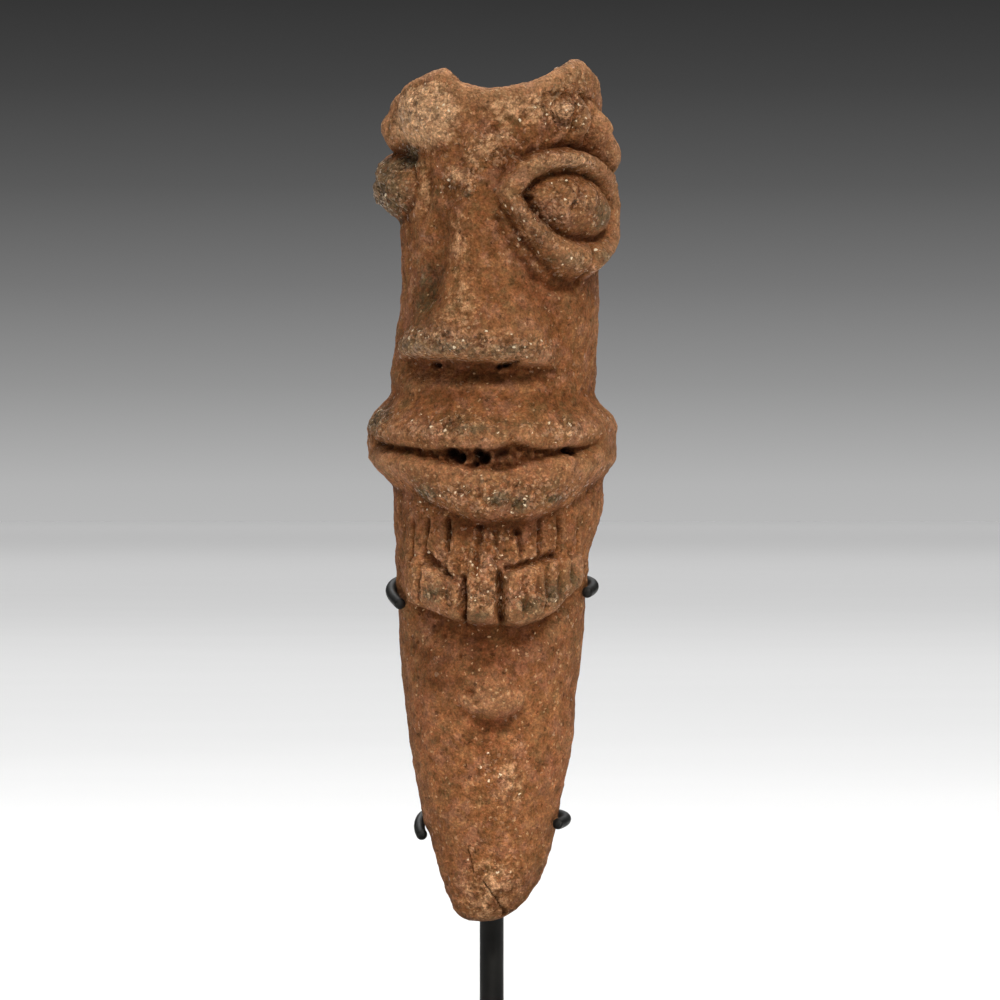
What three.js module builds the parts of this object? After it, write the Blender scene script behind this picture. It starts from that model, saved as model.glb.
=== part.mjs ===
// A terracotta funerary figure: a tapering clay column with a modelled face, held upright by two wire claws
// on a black rod and base plate. Millimetres, +Z up. The face looks towards -Y, and the origin is the middle
// of the base plate's underside.
import * as THREE from "three";

const { clamp, degToRad, lerp, radToDeg, smoothstep } = THREE.MathUtils;

// The figure's heights are above its tip. Its angles are degrees round the column from the front, positive
// towards +X. Lengths across a feature are taken along the surface at the girth radius.
const GIRTH_RADIUS = 28;
const FACE_TURN = -14;
const FRONT_DEPTH = 0.95;
const BACK_DEPTH = 0.9;

// The tapering lower body, from the blunt tip up to the straight column.
const TAPER_HEIGHT = 85;
const TAPER_HALF_WIDTH = 24.4;
const TAPER_POWER = 1.35;
const TIP_POWER = 0.375;

// Stations [height, half width] of the straight column, and [height, sideways lean] of its middle line.
const COLUMN = [
  [85, 24.4], [105, 25.6], [125, 26.1], [142, 26.5], [160, 26], [175, 25.7], [200, 26], [214, 26.8],
  [225, 26.8],
];
const LEAN = [
  [0, -2.8], [6, -0.8], [16, 0.1], [45, -0.5], [85, 0.1], [107, 0.4], [125, 0], [142, 0.6], [162, 2.2],
  [200, 2.2], [225, 1.4],
];

// Stations [angle, height] of the uneven rim, with a peak over each brow.
const RIM = [
  [-180, 214], [-100, 215], [-60, 218.4], [-36, 221.4], [-22, 217.6], [5, 217], [32, 219.8],
  [46, 222.6], [62, 224.6], [82, 220.5], [105, 215.5], [180, 214],
];
const RIM_ROUND = 3.5;
const RIM_BASE = 214;
const TOP_LEVEL = 212.5;

// The large eye towards +X and the small one towards -X: a lens-shaped opening with a ball in it and a coil
// of clay round it, which has another width under the inner half. The inner corner is raised.
const EYES = [
  {
    side: 1, turn: 47, height: 186.2, length: 17, opening: 9, raise: 2.3,
    coil: 6.6, under: 9.4, out: 5.5, ball: 5,
  },
  {
    side: -1, turn: -112, height: 192.4, length: 12.5, opening: 4.2, raise: 0.6,
    coil: 5.4, under: 5.4, out: 5, ball: 4.6,
  },
];
const EYE_FLOOR = 1.6;

// Low mounds of clay: the brow over the large eye with its two lobes, the lump in front of the small eye and
// the brow over it in two parts, the forehead, one jowl, the navel and the swelling under it.
const MOUNDS = [
  { turn: 86, height: 200, across: 13, up: 12, out: 5.6 },
  { turn: 49, height: 208.4, across: 5, up: 8, out: 4.8 },
  { turn: 69, height: 206.4, across: 5, up: 7.6, out: 5.2 },
  { turn: -84, height: 192.6, across: 13.5, up: 10.2, out: 6.8 },
  { turn: -50, height: 209.5, across: 15, up: 11, out: 3.6 },
  { turn: -86, height: 206.5, across: 12, up: 9, out: 4.4 },
  { turn: -14, height: 200, across: 9, up: 10, out: 1.4 },
  { turn: 92, height: 111, across: 18, up: 16, out: 3 },
  { turn: 1.6, height: 60.4, across: 8.6, up: 8, out: 2.5 },
  { turn: 13.8, height: 37, across: 10, up: 17, out: 0.8 },
];

// The broad nose over a flat ledge, with stations [height, half width] towards -X and towards +X, and
// [height, how far it stands out].
const NOSE_LEDGE = 146;
const NOSE_TILT = -0.045;
const NOSE_STEP = 1.6;
const NOSE_FLANK = 0.4;
const NOSE_LEFT = [[140, 28], [147, 28], [152, 26], [158, 20], [166, 12.5], [176, 10], [192, 9]];
const NOSE_RIGHT = [[140, 27], [147, 27], [152, 25], [158, 21.5], [166, 17], [178, 13], [192, 10]];
const NOSE_OUT = [[140, 6.4], [146, 6.4], [152, 6.1], [158, 5.2], [166, 4.2], [178, 3], [192, 1.5], [200, 0]];
const NOSTRILS = [{ turn: -44, height: 143.8, tilt: 0 }, { turn: 9, height: 144, tilt: 0.28 }];
const NOSTRIL_ACROSS = 3.4;
const NOSTRIL_UP = 1.5;
const NOSTRIL_DEPTH = 2.4;

// The lips are one roll round the front, split by a slit that rises towards both ends.
const MOUTH_TURN = -3;
const MOUTH_HEIGHT = 121.6;
const MOUTH_RISE = 3.2;
const MOUTH_HALF_ANGLE = 72;
const LIP_TOP = 139;
const LIP_BELOW = 17.4;
const LIP_FLAT = 0.3;
const LIP_FLAT_UNDER = 0.66;
const LIP_OUT = 6.3;
const LIP_FULL_ANGLE = 92;
const LIP_END_ANGLE = 132;
const SLIT_HALF_HEIGHT = 2.6;
const SLIT_DEPTH = 4;

// The beard is a low apron under the lips, with raised blocks along its curved lower edge, stations
// (angle, height), and upright strokes cut in two rows.
const BEARD_TURN = 1;
const BEARD_HALF_ANGLE = 66;
const BEARD_LEVEL = 78;
const BEARD_EDGE = [
  [-180, 88], [-75, 86.5], [-66, 84.4], [-52, 83], [-38, 81.6], [-26, 79.6], [-12, 78.3], [4, 77.8],
  [18, 77.5], [28, 78.8], [40, 81.8], [50, 85.4], [62, 88], [180, 88],
];
const BEARD_TOP = 106;
const BEARD_OUT = 2.2;
const BEARD_THIN_OUT = 0.8;
const BEARD_STEP = 2;
const BEARD_BLOCKS = [
  { sides: [-61, -45], tops: [97, 95.5], outs: [0.9, 1.3] },
  { sides: [-44, -17], tops: [95.4, 88.4], outs: [2.1, 2.3] },
  { sides: [-16, 4], tops: [98, 97], outs: [0.2, 2.6] },
  { sides: [6, 61], tops: [91.6, 96.8], outs: [1.8, 2.7] },
];
const BLOCK_EDGE = 2;
const STROKE_DEPTH = 1.1;
const STROKE_HALF_WIDTH = 1.8;
const UPPER_STROKES = { bottom: 96, top: 105, turns: [-55, -40, -25, -9, 1, 15, 26, 40, 57] };
const LOWER_STROKES = { bottom: 78, top: 93, turns: [-57, -43, -27, -15.5, 4.5, 30, 43] };
const STROKE_FADE = 2;

// Mesh of the figure: rows of points up the wall, denser at the carving, with half as many round the body.
const FACE_COLUMNS = 64;
const FRONT_CROWDING = 0.5;
const SIDE_CROWDING = 0.075;
const BODY_ROWS = [
  { to: 0.3, rows: 1 }, { to: 2, rows: 2 }, { to: 12, rows: 3 }, { to: 50, rows: 4 }, { to: 74, rows: 5 },
];
const FACE_ROWS = [
  { to: 79.5, rows: 3 }, { to: 105, rows: 7 }, { to: 117, rows: 4 }, { to: 126, rows: 6 },
  { to: 142.5, rows: 6 }, { to: 148, rows: 4 }, { to: 172, rows: 5 }, { to: 203, rows: 15 },
  { to: RIM_BASE - RIM_ROUND, rows: 3 },
];
const RIM_ROUND_ROWS = 3;
const TOP_RINGS = [{ reach: 0.74, drop: 0.35 }, { reach: 0.56, drop: 0.8 }, { reach: 0.3, drop: 0.97 }];

// The stand. The wire rests a hair clear of the clay and of the rod.
const BASE_SIZE = 100;
const BASE_THICKNESS = 8;
const BASE_CORNER = 3;
const BASE_BEVEL = 0.8;
const TIP_CLEARANCE = 40;
const ROD_RADIUS = 3.175;
const ROD_CHAMFER = 0.6;
const ROD_ABOVE_CLAW = 6;
const ROD_ABOVE_FLOOR = 0.5;
const ROD_SIDES = 16;
const WIRE_RADIUS = 1.45;
const WIRE_SIDES = 8;
const WIRE_STEPS = 32;
const WIRE_LEAVES_CLAY = 100;
const ARM_POINTS = 12;
const ARM_EASE = 30;
const ARM_LEVEL = 125;
const CONTACT_GAP = 0.3;

// Each claw's height at the rod, and the angle and height where its two ends stop at the front.
const CLAWS = [
  { name: "upper_claw_wire", back: 89.2, ends: [{ turn: -64, height: 80.6 }, { turn: 70, height: 84.5 }] },
  { name: "lower_claw_wire", back: 27.6, ends: [{ turn: -80, height: 19.6 }, { turn: 63.5, height: 25 }] },
];

const FIGURE_LIFT = BASE_THICKNESS + TIP_CLEARANCE;

const TERRACOTTA = new THREE.MeshStandardMaterial({ color: 0x8d5f3e, roughness: 0.92, metalness: 0 });
const BLACK_STEEL = new THREE.MeshStandardMaterial({ color: 0x201f1c, roughness: 0.6, metalness: 0.2 });

// Length along the surface for an angle in degrees.
const arc = (angle) => GIRTH_RADIUS * degToRad(angle);

// Round section of a coil: 1 in the middle, 0 at plus and minus 1.
const dome = (q) => Math.max(0, 1 - q * q) ** 0.8;

// Soft swelling: 1 in the middle, running out level at plus and minus 1.
const swell = (q) => Math.max(0, 1 - q * q) ** 2;

// Soft union of heights: the tallest wins and the joints between them are filled a little.
const union = (heights) => Math.cbrt(heights.reduce((sum, height) => sum + height ** 3, 0));

// Smooth curve through stations [place, value].
function through(stations, place) {
  const last = stations.length - 1;
  const at = clamp(place, stations[0][0], stations[last][0]);
  const next = Math.max(1, stations.findIndex((station) => station[0] >= at));
  const [x0, y0] = stations[next - 1];
  const [x1, y1] = stations[next];
  const slope = (i) => {
    const before = stations[Math.max(0, i - 1)];
    const after = stations[Math.min(last, i + 1)];
    return (after[1] - before[1]) / (after[0] - before[0]);
  };
  const span = x1 - x0;
  const t = (at - x0) / span;
  const rise = span * (slope(next - 1) * t * (1 - t) ** 2 - slope(next) * t * t * (1 - t));
  return lerp(y0, y1, t * t * (3 - 2 * t)) + rise;
}

// Half width of the bare column.
function halfWidth(height) {
  if (height >= TAPER_HEIGHT) return through(COLUMN, height);
  const left = 1 - Math.max(0, height) / TAPER_HEIGHT;
  return TAPER_HALF_WIDTH * (1 - left ** TAPER_POWER) ** TIP_POWER;
}

// Radius of the bare column, an oval that is a little shallower than it is wide.
function columnRadius(angle, height) {
  const wide = halfWidth(height);
  const across = Math.sin(degToRad(angle));
  const along = Math.cos(degToRad(angle));
  const deep = wide * (along > 0 ? FRONT_DEPTH : BACK_DEPTH);
  return wide === 0 ? 0 : (wide * deep) / Math.hypot(deep * across, wide * along);
}

// Distance from the edge of a lens-shaped opening, pointed at its inner end and round at its outer end.
function lensDistance(along, across, length, opening) {
  if (along < 0) {
    const bow = (length * length + opening * opening) / (2 * opening);
    return Math.hypot(along, Math.abs(across) + bow - opening) - bow;
  }
  const reach = Math.hypot(along / length, across / opening);
  const steepness = Math.hypot(along / length ** 2, across / opening ** 2);
  return steepness === 0 ? -opening : Math.max(-opening, (reach * (reach - 1)) / steepness);
}

// An eye: the coil round the opening, and the ball in it over a sunk floor.
function eyeHeight(eye, angle, height) {
  const along = eye.side * arc(angle - eye.turn);
  const across = height - eye.height + (eye.raise * along) / eye.length;
  const distance = lensDistance(along, across, eye.length, eye.opening);
  const underInner = smoothstep(-across, 0, eye.opening) * smoothstep(-along, -eye.length, 0);
  const half = lerp(eye.coil, eye.under, underInner) / 2;
  if (distance >= 0) return eye.out * dome(distance / half - 1);
  return Math.max(EYE_FLOOR * smoothstep(-distance, 0, 1), eye.ball * dome(1 + distance / eye.opening));
}

// A low mound of clay.
function moundHeight(mound, angle, height) {
  const across = arc(angle - mound.turn) / mound.across;
  const up = (height - mound.height) / mound.up;
  return mound.out * swell(Math.hypot(across, up));
}

// Height of the nose's ledge at an angle.
const ledgeHeight = (angle) => NOSE_LEDGE + NOSE_TILT * clamp(arc(angle - FACE_TURN), -24, 24);

// The nose, which widens downwards and stops at its ledge.
function noseHeight(angle, height) {
  const off = arc(angle - FACE_TURN);
  const across = Math.abs(off) / through(off < 0 ? NOSE_LEFT : NOSE_RIGHT, height);
  const flank = 1 - smoothstep(across, NOSE_FLANK, 1.15);
  const ledge = ledgeHeight(angle);
  return through(NOSE_OUT, height) * flank * smoothstep(height, ledge - NOSE_STEP, ledge);
}

// How far along the mouth an angle lies: 0 in the middle, 1 at either end of the slit.
const mouthReach = (angle) => Math.abs(angle - MOUTH_TURN) / MOUTH_HALF_ANGLE;

// Height of the mouth's slit at an angle.
const slitHeight = (angle) => MOUTH_HEIGHT + MOUTH_RISE * Math.min(1.2, mouthReach(angle)) ** 2;

// Both lips as one roll that fades out round the back. The lower lip is fullest in the middle.
function lipHeight(angle, height) {
  const fade = 1 - smoothstep(Math.abs(angle - MOUTH_TURN), LIP_FULL_ANGLE, LIP_END_ANGLE);
  const from = height - slitHeight(angle);
  const flatUnder = lerp(LIP_FLAT_UNDER, LIP_FLAT, smoothstep(mouthReach(angle), 0.3, 1));
  const up = from > 0 ? from / (LIP_TOP - slitHeight(angle)) : 0;
  const down = from < 0 ? -from / LIP_BELOW : 0;
  return LIP_OUT * fade * (1 - smoothstep(up, LIP_FLAT, 1)) * (1 - smoothstep(down, flatUnder, 1));
}

// The slit cut between the lips.
function slitDepth(angle, height) {
  const half = SLIT_HALF_HEIGHT * Math.max(0, 1 - mouthReach(angle) ** 2);
  const off = Math.abs(height - slitHeight(angle));
  return half === 0 ? 0 : SLIT_DEPTH * (1 - smoothstep(off, half * 0.5, half + 0.8)) * Math.min(1, half);
}

// How far along the beard an angle lies, 1 at either end.
const beardReach = (angle) => Math.min(1.2, Math.abs(angle - BEARD_TURN) / BEARD_HALF_ANGLE);

// Height of the beard's lower edge at an angle.
const beardEdge = (angle) => through(BEARD_EDGE, angle);

// One raised block of the beard, from its slanting top down to the beard's edge.
function blockHeight(block, angle, height) {
  const [first, second] = block.sides;
  const edge = beardEdge(angle);
  const top = lerp(...block.tops, clamp((angle - first) / (second - first), 0, 1));
  const out = lerp(...block.outs, clamp((top - height) / (top - edge), 0, 1));
  const sides = smoothstep(arc(Math.min(angle - first, second - angle)), 0, BLOCK_EDGE);
  return out * sides * (1 - smoothstep(height, top - BLOCK_EDGE, top));
}

// The beard's apron with its blocks, thickest at its lower edge.
function beardHeight(angle, height) {
  const edge = beardEdge(angle);
  const up = clamp((height - edge) / (BEARD_TOP - edge), 0, 1);
  const fade = 1 - smoothstep(beardReach(angle), 0.75, 1.1);
  const apron = lerp(BEARD_OUT, BEARD_THIN_OUT, up) * fade;
  const blocks = BEARD_BLOCKS.reduce((sum, block) => sum + blockHeight(block, angle, height), 0);
  return (apron + blocks) * smoothstep(height, edge - BEARD_STEP, edge);
}

// The upright strokes of one row of the beard.
function strokeDepth(row, angle, height) {
  const start = smoothstep(height, row.bottom - STROKE_FADE, row.bottom);
  const stop = 1 - smoothstep(height, row.top, row.top + STROKE_FADE);
  const cuts = row.turns.map((turn) => swell(arc(angle - turn) / STROKE_HALF_WIDTH));
  return STROKE_DEPTH * start * stop * Math.max(...cuts);
}

// A nostril, a short tilted dent under the ledge.
function nostrilDepth(nostril, angle, height) {
  const along = arc(angle - nostril.turn);
  const across = height - nostril.height - nostril.tilt * along;
  return NOSTRIL_DEPTH * swell(Math.hypot(along / NOSTRIL_ACROSS, across / NOSTRIL_UP));
}

// Radius of the figure's surface.
function figureRadius(angle, height) {
  const raised = [
    noseHeight(angle, height),
    lipHeight(angle, height),
    beardHeight(angle, height),
    ...EYES.map((eye) => eyeHeight(eye, angle, height)),
    ...MOUNDS.map((mound) => moundHeight(mound, angle, height)),
  ];
  const cut = [
    slitDepth(angle, height),
    strokeDepth(UPPER_STROKES, angle, height),
    strokeDepth(LOWER_STROKES, angle, height),
    ...NOSTRILS.map((nostril) => nostrilDepth(nostril, angle, height)),
  ];
  return columnRadius(angle, height) + union(raised) - Math.max(...cut);
}

// Point at an angle, a radius and a height on the figure.
function figurePoint(angle, radius, height) {
  const turn = degToRad(angle);
  const x = through(LEAN, height) + radius * Math.sin(turn);
  return new THREE.Vector3(x, -radius * Math.cos(turn), FIGURE_LIFT + height);
}

// The rows of points bend so that they run along the beard's edge, the slit, the nose's ledge and the rim.
function rowHeight(level, angle) {
  const guides = [
    [0, 0],
    [60, 0],
    [BEARD_LEVEL, beardEdge(angle) - BEARD_LEVEL],
    [BEARD_TOP, 0],
    [MOUTH_HEIGHT, slitHeight(angle) - MOUTH_HEIGHT],
    [NOSE_LEDGE, ledgeHeight(angle) - NOSE_LEDGE],
    [172, 0],
    [196, 0],
    [RIM_BASE - RIM_ROUND, through(RIM, angle) - RIM_BASE],
  ];
  const next = Math.max(1, guides.findIndex((guide) => guide[0] >= level));
  const [low, lowShift] = guides[next - 1];
  const [high, highShift] = guides[next];
  return level + lerp(lowShift, highShift, (level - low) / (high - low));
}

// Angles of the points in a ring, crowded towards the face.
function ringAngles(count) {
  return Array.from({ length: count }, (_, i) => {
    const turn = 2 * Math.PI * (i / count) - Math.PI;
    const crowded = turn - FRONT_CROWDING * Math.sin(turn) + SIDE_CROWDING * Math.sin(2 * turn);
    const angle = FACE_TURN + radToDeg(crowded);
    return angle < -180 ? angle + 360 : angle;
  });
}

// Levels of the rows from one height upwards, zone by zone.
function levels(start, zones) {
  let from = start;
  return zones.flatMap((zone) => {
    const low = from;
    from = zone.to;
    return Array.from({ length: zone.rows }, (_, i) => lerp(low, zone.to, (i + 1) / zone.rows));
  });
}

// Rings of points from the tip up the wall, over the round rim and across the slightly sunken top.
function figureRings() {
  const wall = (angles) => (level) =>
    angles.map((angle) => {
      const height = rowHeight(level, angle);
      return figurePoint(angle, figureRadius(angle, height), height);
    });
  const faceAngles = ringAngles(FACE_COLUMNS);
  const bodyAngles = faceAngles.filter((_, i) => i % 2 === 0);
  const bodyTop = BODY_ROWS.at(-1).to;
  const rings = [
    ...levels(0, BODY_ROWS).map(wall(bodyAngles)),
    ...levels(bodyTop, FACE_ROWS).map(wall(faceAngles)),
  ];
  for (let i = 1; i <= RIM_ROUND_ROWS; i += 1) {
    const turn = (Math.PI / 2) * (i / RIM_ROUND_ROWS);
    rings.push(
      faceAngles.map((angle) => {
        const wallTop = through(RIM, angle) - RIM_ROUND;
        const radius = figureRadius(angle, wallTop) - RIM_ROUND * (1 - Math.cos(turn));
        return figurePoint(angle, radius, wallTop + RIM_ROUND * Math.sin(turn));
      }),
    );
  }
  TOP_RINGS.forEach((ring, i) => {
    rings.push(
      (i === 0 ? faceAngles : bodyAngles).map((angle) => {
        const height = lerp(through(RIM, angle), TOP_LEVEL, ring.drop);
        return figurePoint(angle, columnRadius(angle, RIM_BASE) * ring.reach, height);
      }),
    );
  });
  return rings;
}

// Triangles between two rings, of which either may have twice as many points as the other. Each square is
// split along its shorter diagonal, so that the edges run along the carving.
function bandTriangles(points, low, high) {
  const steps = Math.max(low.length, high.length);
  const at = (ring, i) => ring[Math.floor((i * ring.length) / steps) % ring.length];
  const triangles = [];
  for (let i = 0; i < steps; i += 1) {
    const [a, b] = [at(low, i), at(low, i + 1)];
    const [c, d] = [at(high, i + 1), at(high, i)];
    const rising = points[a].distanceTo(points[c]) < points[b].distanceTo(points[d]);
    const split = rising ? [[a, b, c], [a, c, d]] : [[a, b, d], [b, c, d]];
    triangles.push(...split.filter((corners) => new Set(corners).size === 3));
  }
  return triangles;
}

// The clay figure as one closed skin of triangles.
function figureGeometry() {
  const rings = figureRings();
  const tip = figurePoint(0, 0, 0);
  const topMiddle = figurePoint(0, 0, TOP_LEVEL);
  const points = [tip, ...rings.flat(), topMiddle];
  let first = 1;
  const numbered = rings.map((ring) => {
    const start = first;
    first += ring.length;
    return ring.map((_, i) => start + i);
  });
  const triangles = [];
  numbered[0].forEach((point, i) => {
    triangles.push([0, numbered[0][(i + 1) % numbered[0].length], point]);
  });
  for (let i = 1; i < numbered.length; i += 1) {
    triangles.push(...bandTriangles(points, numbered[i - 1], numbered[i]));
  }
  const inner = numbered.at(-1);
  inner.forEach((point, i) => {
    triangles.push([point, inner[(i + 1) % inner.length], points.length - 1]);
  });
  const geometry = new THREE.BufferGeometry().setFromPoints(points);
  geometry.setIndex(triangles.flat());
  geometry.computeVertexNormals();
  return geometry;
}

// How far behind the figure's middle line the wire meets the rod, set by the upper claw.
const WIRE_AT_ROD = columnRadius(180, CLAWS[0].back) + CONTACT_GAP + WIRE_RADIUS;
const ROD_BEHIND = WIRE_AT_ROD + WIRE_RADIUS + CONTACT_GAP + ROD_RADIUS;

// One arm of a claw, from its end at the front round the side to the rod.
function clawArm(claw, end) {
  const side = Math.sign(end.turn);
  return Array.from({ length: ARM_POINTS }, (_, i) => {
    const turn = lerp(Math.abs(end.turn), 180, i / ARM_POINTS);
    const height = lerp(end.height, claw.back, smoothstep(turn, Math.abs(end.turn) - ARM_EASE, ARM_LEVEL));
    const edges = [height - WIRE_RADIUS, height, height + WIRE_RADIUS];
    const clay = Math.max(...edges.map((edge) => figureRadius(side * turn, edge)));
    const hug = clay + CONTACT_GAP + WIRE_RADIUS;
    const towardsRod = lerp(hug, WIRE_AT_ROD, smoothstep(turn, WIRE_LEAVES_CLAY, 180));
    return figurePoint(side * turn, Math.max(hug, towardsRod), height);
  });
}

// A claw wire, bent round the figure from one end to the other.
function clawGeometry(claw) {
  const [leftArm, rightArm] = claw.ends.map((end) => clawArm(claw, end));
  const middle = new THREE.Vector3(0, WIRE_AT_ROD, FIGURE_LIFT + claw.back);
  const path = new THREE.CatmullRomCurve3([...leftArm, middle, ...rightArm.reverse()]);
  const section = new THREE.Shape().absarc(0, 0, WIRE_RADIUS, 0, Math.PI * 2);
  return new THREE.ExtrudeGeometry(section, {
    steps: WIRE_STEPS,
    curveSegments: WIRE_SIDES / 2,
    extrudePath: path,
    bevelEnabled: false,
  });
}

// The rod, a round bar with chamfered ends that stands in the base plate's hole.
function rodGeometry() {
  const length = FIGURE_LIFT + CLAWS[0].back + ROD_ABOVE_CLAW - ROD_ABOVE_FLOOR;
  const profile = [
    new THREE.Vector2(0, 0),
    new THREE.Vector2(ROD_RADIUS - ROD_CHAMFER, 0),
    new THREE.Vector2(ROD_RADIUS, ROD_CHAMFER),
    new THREE.Vector2(ROD_RADIUS, length - ROD_CHAMFER),
    new THREE.Vector2(ROD_RADIUS - ROD_CHAMFER, length),
    new THREE.Vector2(0, length),
  ];
  const geometry = new THREE.LatheGeometry(profile, ROD_SIDES);
  geometry.rotateX(Math.PI / 2);
  return geometry;
}

// The base plate, a square with eased corners and a hole for the rod.
function baseGeometry() {
  const half = BASE_SIZE / 2;
  const flat = half - BASE_CORNER;
  const outline = new THREE.Shape();
  outline.absarc(flat, flat, BASE_CORNER, 0, Math.PI / 2);
  outline.absarc(-flat, flat, BASE_CORNER, Math.PI / 2, Math.PI);
  outline.absarc(-flat, -flat, BASE_CORNER, Math.PI, 1.5 * Math.PI);
  outline.absarc(flat, -flat, BASE_CORNER, 1.5 * Math.PI, 2 * Math.PI);
  const hole = new THREE.Path().absarc(0, ROD_BEHIND, ROD_RADIUS + CONTACT_GAP, 0, Math.PI * 2, true);
  outline.holes.push(hole);
  const geometry = new THREE.ExtrudeGeometry(outline, {
    depth: BASE_THICKNESS - 2 * BASE_BEVEL,
    curveSegments: 4,
    bevelThickness: BASE_BEVEL,
    bevelSize: BASE_BEVEL,
    bevelOffset: -BASE_BEVEL,
    bevelSegments: 1,
  });
  geometry.translate(0, 0, BASE_BEVEL);
  return geometry;
}

// A named piece of the object.
function piece(name, geometry, material) {
  const mesh = new THREE.Mesh(geometry, material);
  mesh.name = name;
  return mesh;
}

const figureOnStand = new THREE.Group();
figureOnStand.add(piece("terracotta_figure", figureGeometry(), TERRACOTTA));
CLAWS.forEach((claw) => {
  figureOnStand.add(piece(claw.name, clawGeometry(claw), BLACK_STEEL));
});
const rod = piece("stand_rod", rodGeometry(), BLACK_STEEL);
rod.position.set(0, ROD_BEHIND, ROD_ABOVE_FLOOR);
figureOnStand.add(rod);
figureOnStand.add(piece("stand_base", baseGeometry(), BLACK_STEEL));

export default figureOnStand;
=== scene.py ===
import math

import bpy
import numpy as np
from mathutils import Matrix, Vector, noise


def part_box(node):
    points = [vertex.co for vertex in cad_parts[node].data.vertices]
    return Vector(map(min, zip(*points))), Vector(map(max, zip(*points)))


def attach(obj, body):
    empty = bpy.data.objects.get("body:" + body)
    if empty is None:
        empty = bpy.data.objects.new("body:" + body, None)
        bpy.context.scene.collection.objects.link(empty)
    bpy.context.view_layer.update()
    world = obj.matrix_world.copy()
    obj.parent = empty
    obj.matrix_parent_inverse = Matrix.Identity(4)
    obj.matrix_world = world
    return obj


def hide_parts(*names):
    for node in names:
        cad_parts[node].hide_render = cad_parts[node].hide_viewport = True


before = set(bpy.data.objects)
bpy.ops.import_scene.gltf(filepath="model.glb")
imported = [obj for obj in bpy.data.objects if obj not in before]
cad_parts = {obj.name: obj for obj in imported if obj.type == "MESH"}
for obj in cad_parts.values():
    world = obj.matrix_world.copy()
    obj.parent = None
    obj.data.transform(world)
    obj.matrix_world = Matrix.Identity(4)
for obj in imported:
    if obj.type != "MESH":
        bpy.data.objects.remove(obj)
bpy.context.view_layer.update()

# A terracotta funerary figure in two wire claws on a black rod and plate. Millimetres throughout, turned into
# metres when a mesh is made. The figure's heights are above its tip, and its angles are degrees round the
# column from the front, positive towards +X. Lengths across a feature are taken along the surface.
MM = 0.001
FIGURE_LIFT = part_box("terracotta_figure")[0].z / MM
GIRTH_RADIUS = 28
DOME_POWER = 0.6
FACE_TURN = -14
FRONT_DEPTH = 0.95
BACK_DEPTH = 0.9

# The tapering lower body, from the blunt tip up to the straight column.
TAPER_HEIGHT = 85
TAPER_HALF_WIDTH = 24.4
TAPER_POWER = 1.35
TIP_POWER = 0.375

# Stations (height, half width) of the straight column, and (height, sideways lean) of its middle line.
COLUMN = [
    (85, 24.4), (105, 25.6), (125, 26.1), (142, 26.5), (160, 26), (175, 25.7), (200, 26), (214, 26.8),
    (225, 26.8),
]
LEAN = [
    (0, -2.8), (6, -0.8), (16, 0.1), (45, -0.5), (85, 0.1), (107, 0.4), (125, 0), (142, 0.6), (162, 2.2),
    (200, 2.2), (225, 1.4),
]

# Stations (angle, height) of the uneven rim, with a peak over each brow.
RIM = [
    (-180, 214), (-100, 215), (-60, 218.4), (-36, 221.4), (-22, 217.6), (5, 217), (32, 219.8), (46, 222.6),
    (62, 224.6), (82, 220.5), (105, 215.5), (180, 214),
]
RIM_ROUND = 3.5
RIM_BASE = 214
TOP_LEVEL = 212.5

# The large eye towards +X and the small one towards -X: a lens-shaped opening with a ball in it and a coil
# of clay round it, which has another width under the inner half. The inner corner is raised.
EYES = [
    dict(
        side=1, turn=47, height=186.2, length=17, opening=9, rise=2.3,
        coil=6.6, under=11.6, inner=7.4, out=5.5, ball=5.2, gap=0.5, skirt=1.25,
    ),
    dict(
        side=-1, turn=-112, height=192.4, length=12.5, opening=4.2, rise=0.6,
        coil=5.4, under=5.4, inner=6, out=5, ball=4.6, gap=0.5, skirt=1.05,
    ),
]
EYE_FLOOR = 1

# Shares of an eye's length, counted inwards, over which its coil and the coil's skirt change their widths.
COIL_CHANGE = (0.2, 1)
SKIRT_CHANGE = (-0.4, 0.6)
OUTER_SKIRT = 1.05

# Low mounds (angle, height, half width, half height, how far out): the brow over the large eye with its two
# lobes and its knob, the brow over the small eye in two parts, the forehead, one jowl, the swelling under the
# navel, and one flank.
MOUNDS = [
    (86, 200, 13, 12, 5.6),
    (49, 208.4, 5, 8, 4.8),
    (69, 206.4, 4.8, 7.6, 5.2),
    (38.4, 210.8, 3.9, 3.5, 5),
    (-50, 209.5, 15, 11, 3.6),
    (-86, 206.5, 12, 9, 4.4),
    (-14, 200, 9, 10, 1.4),
    (92, 111, 18, 16, 3),
    (13.8, 37, 10, 17, 0.8),
    (82, 46, 18, 15, 0.9),
]

# The side of the small eye that faces the front, a firm lump.
LUMP_TURN = -84
LUMP_HEIGHT = 191.8
LUMP_ACROSS = 13
LUMP_UP = 9.2
LUMP_OUT = 6.6
LUMP_POWER = 1.4

# The navel, steep below and soft above.
NAVEL_TURN = 1.6
NAVEL_HEIGHT = 59.6
NAVEL_ACROSS = 12
NAVEL_ABOVE = 10.5
NAVEL_BELOW = 6.2
NAVEL_OUT = 3.5
NAVEL_BLEND = 3

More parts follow.
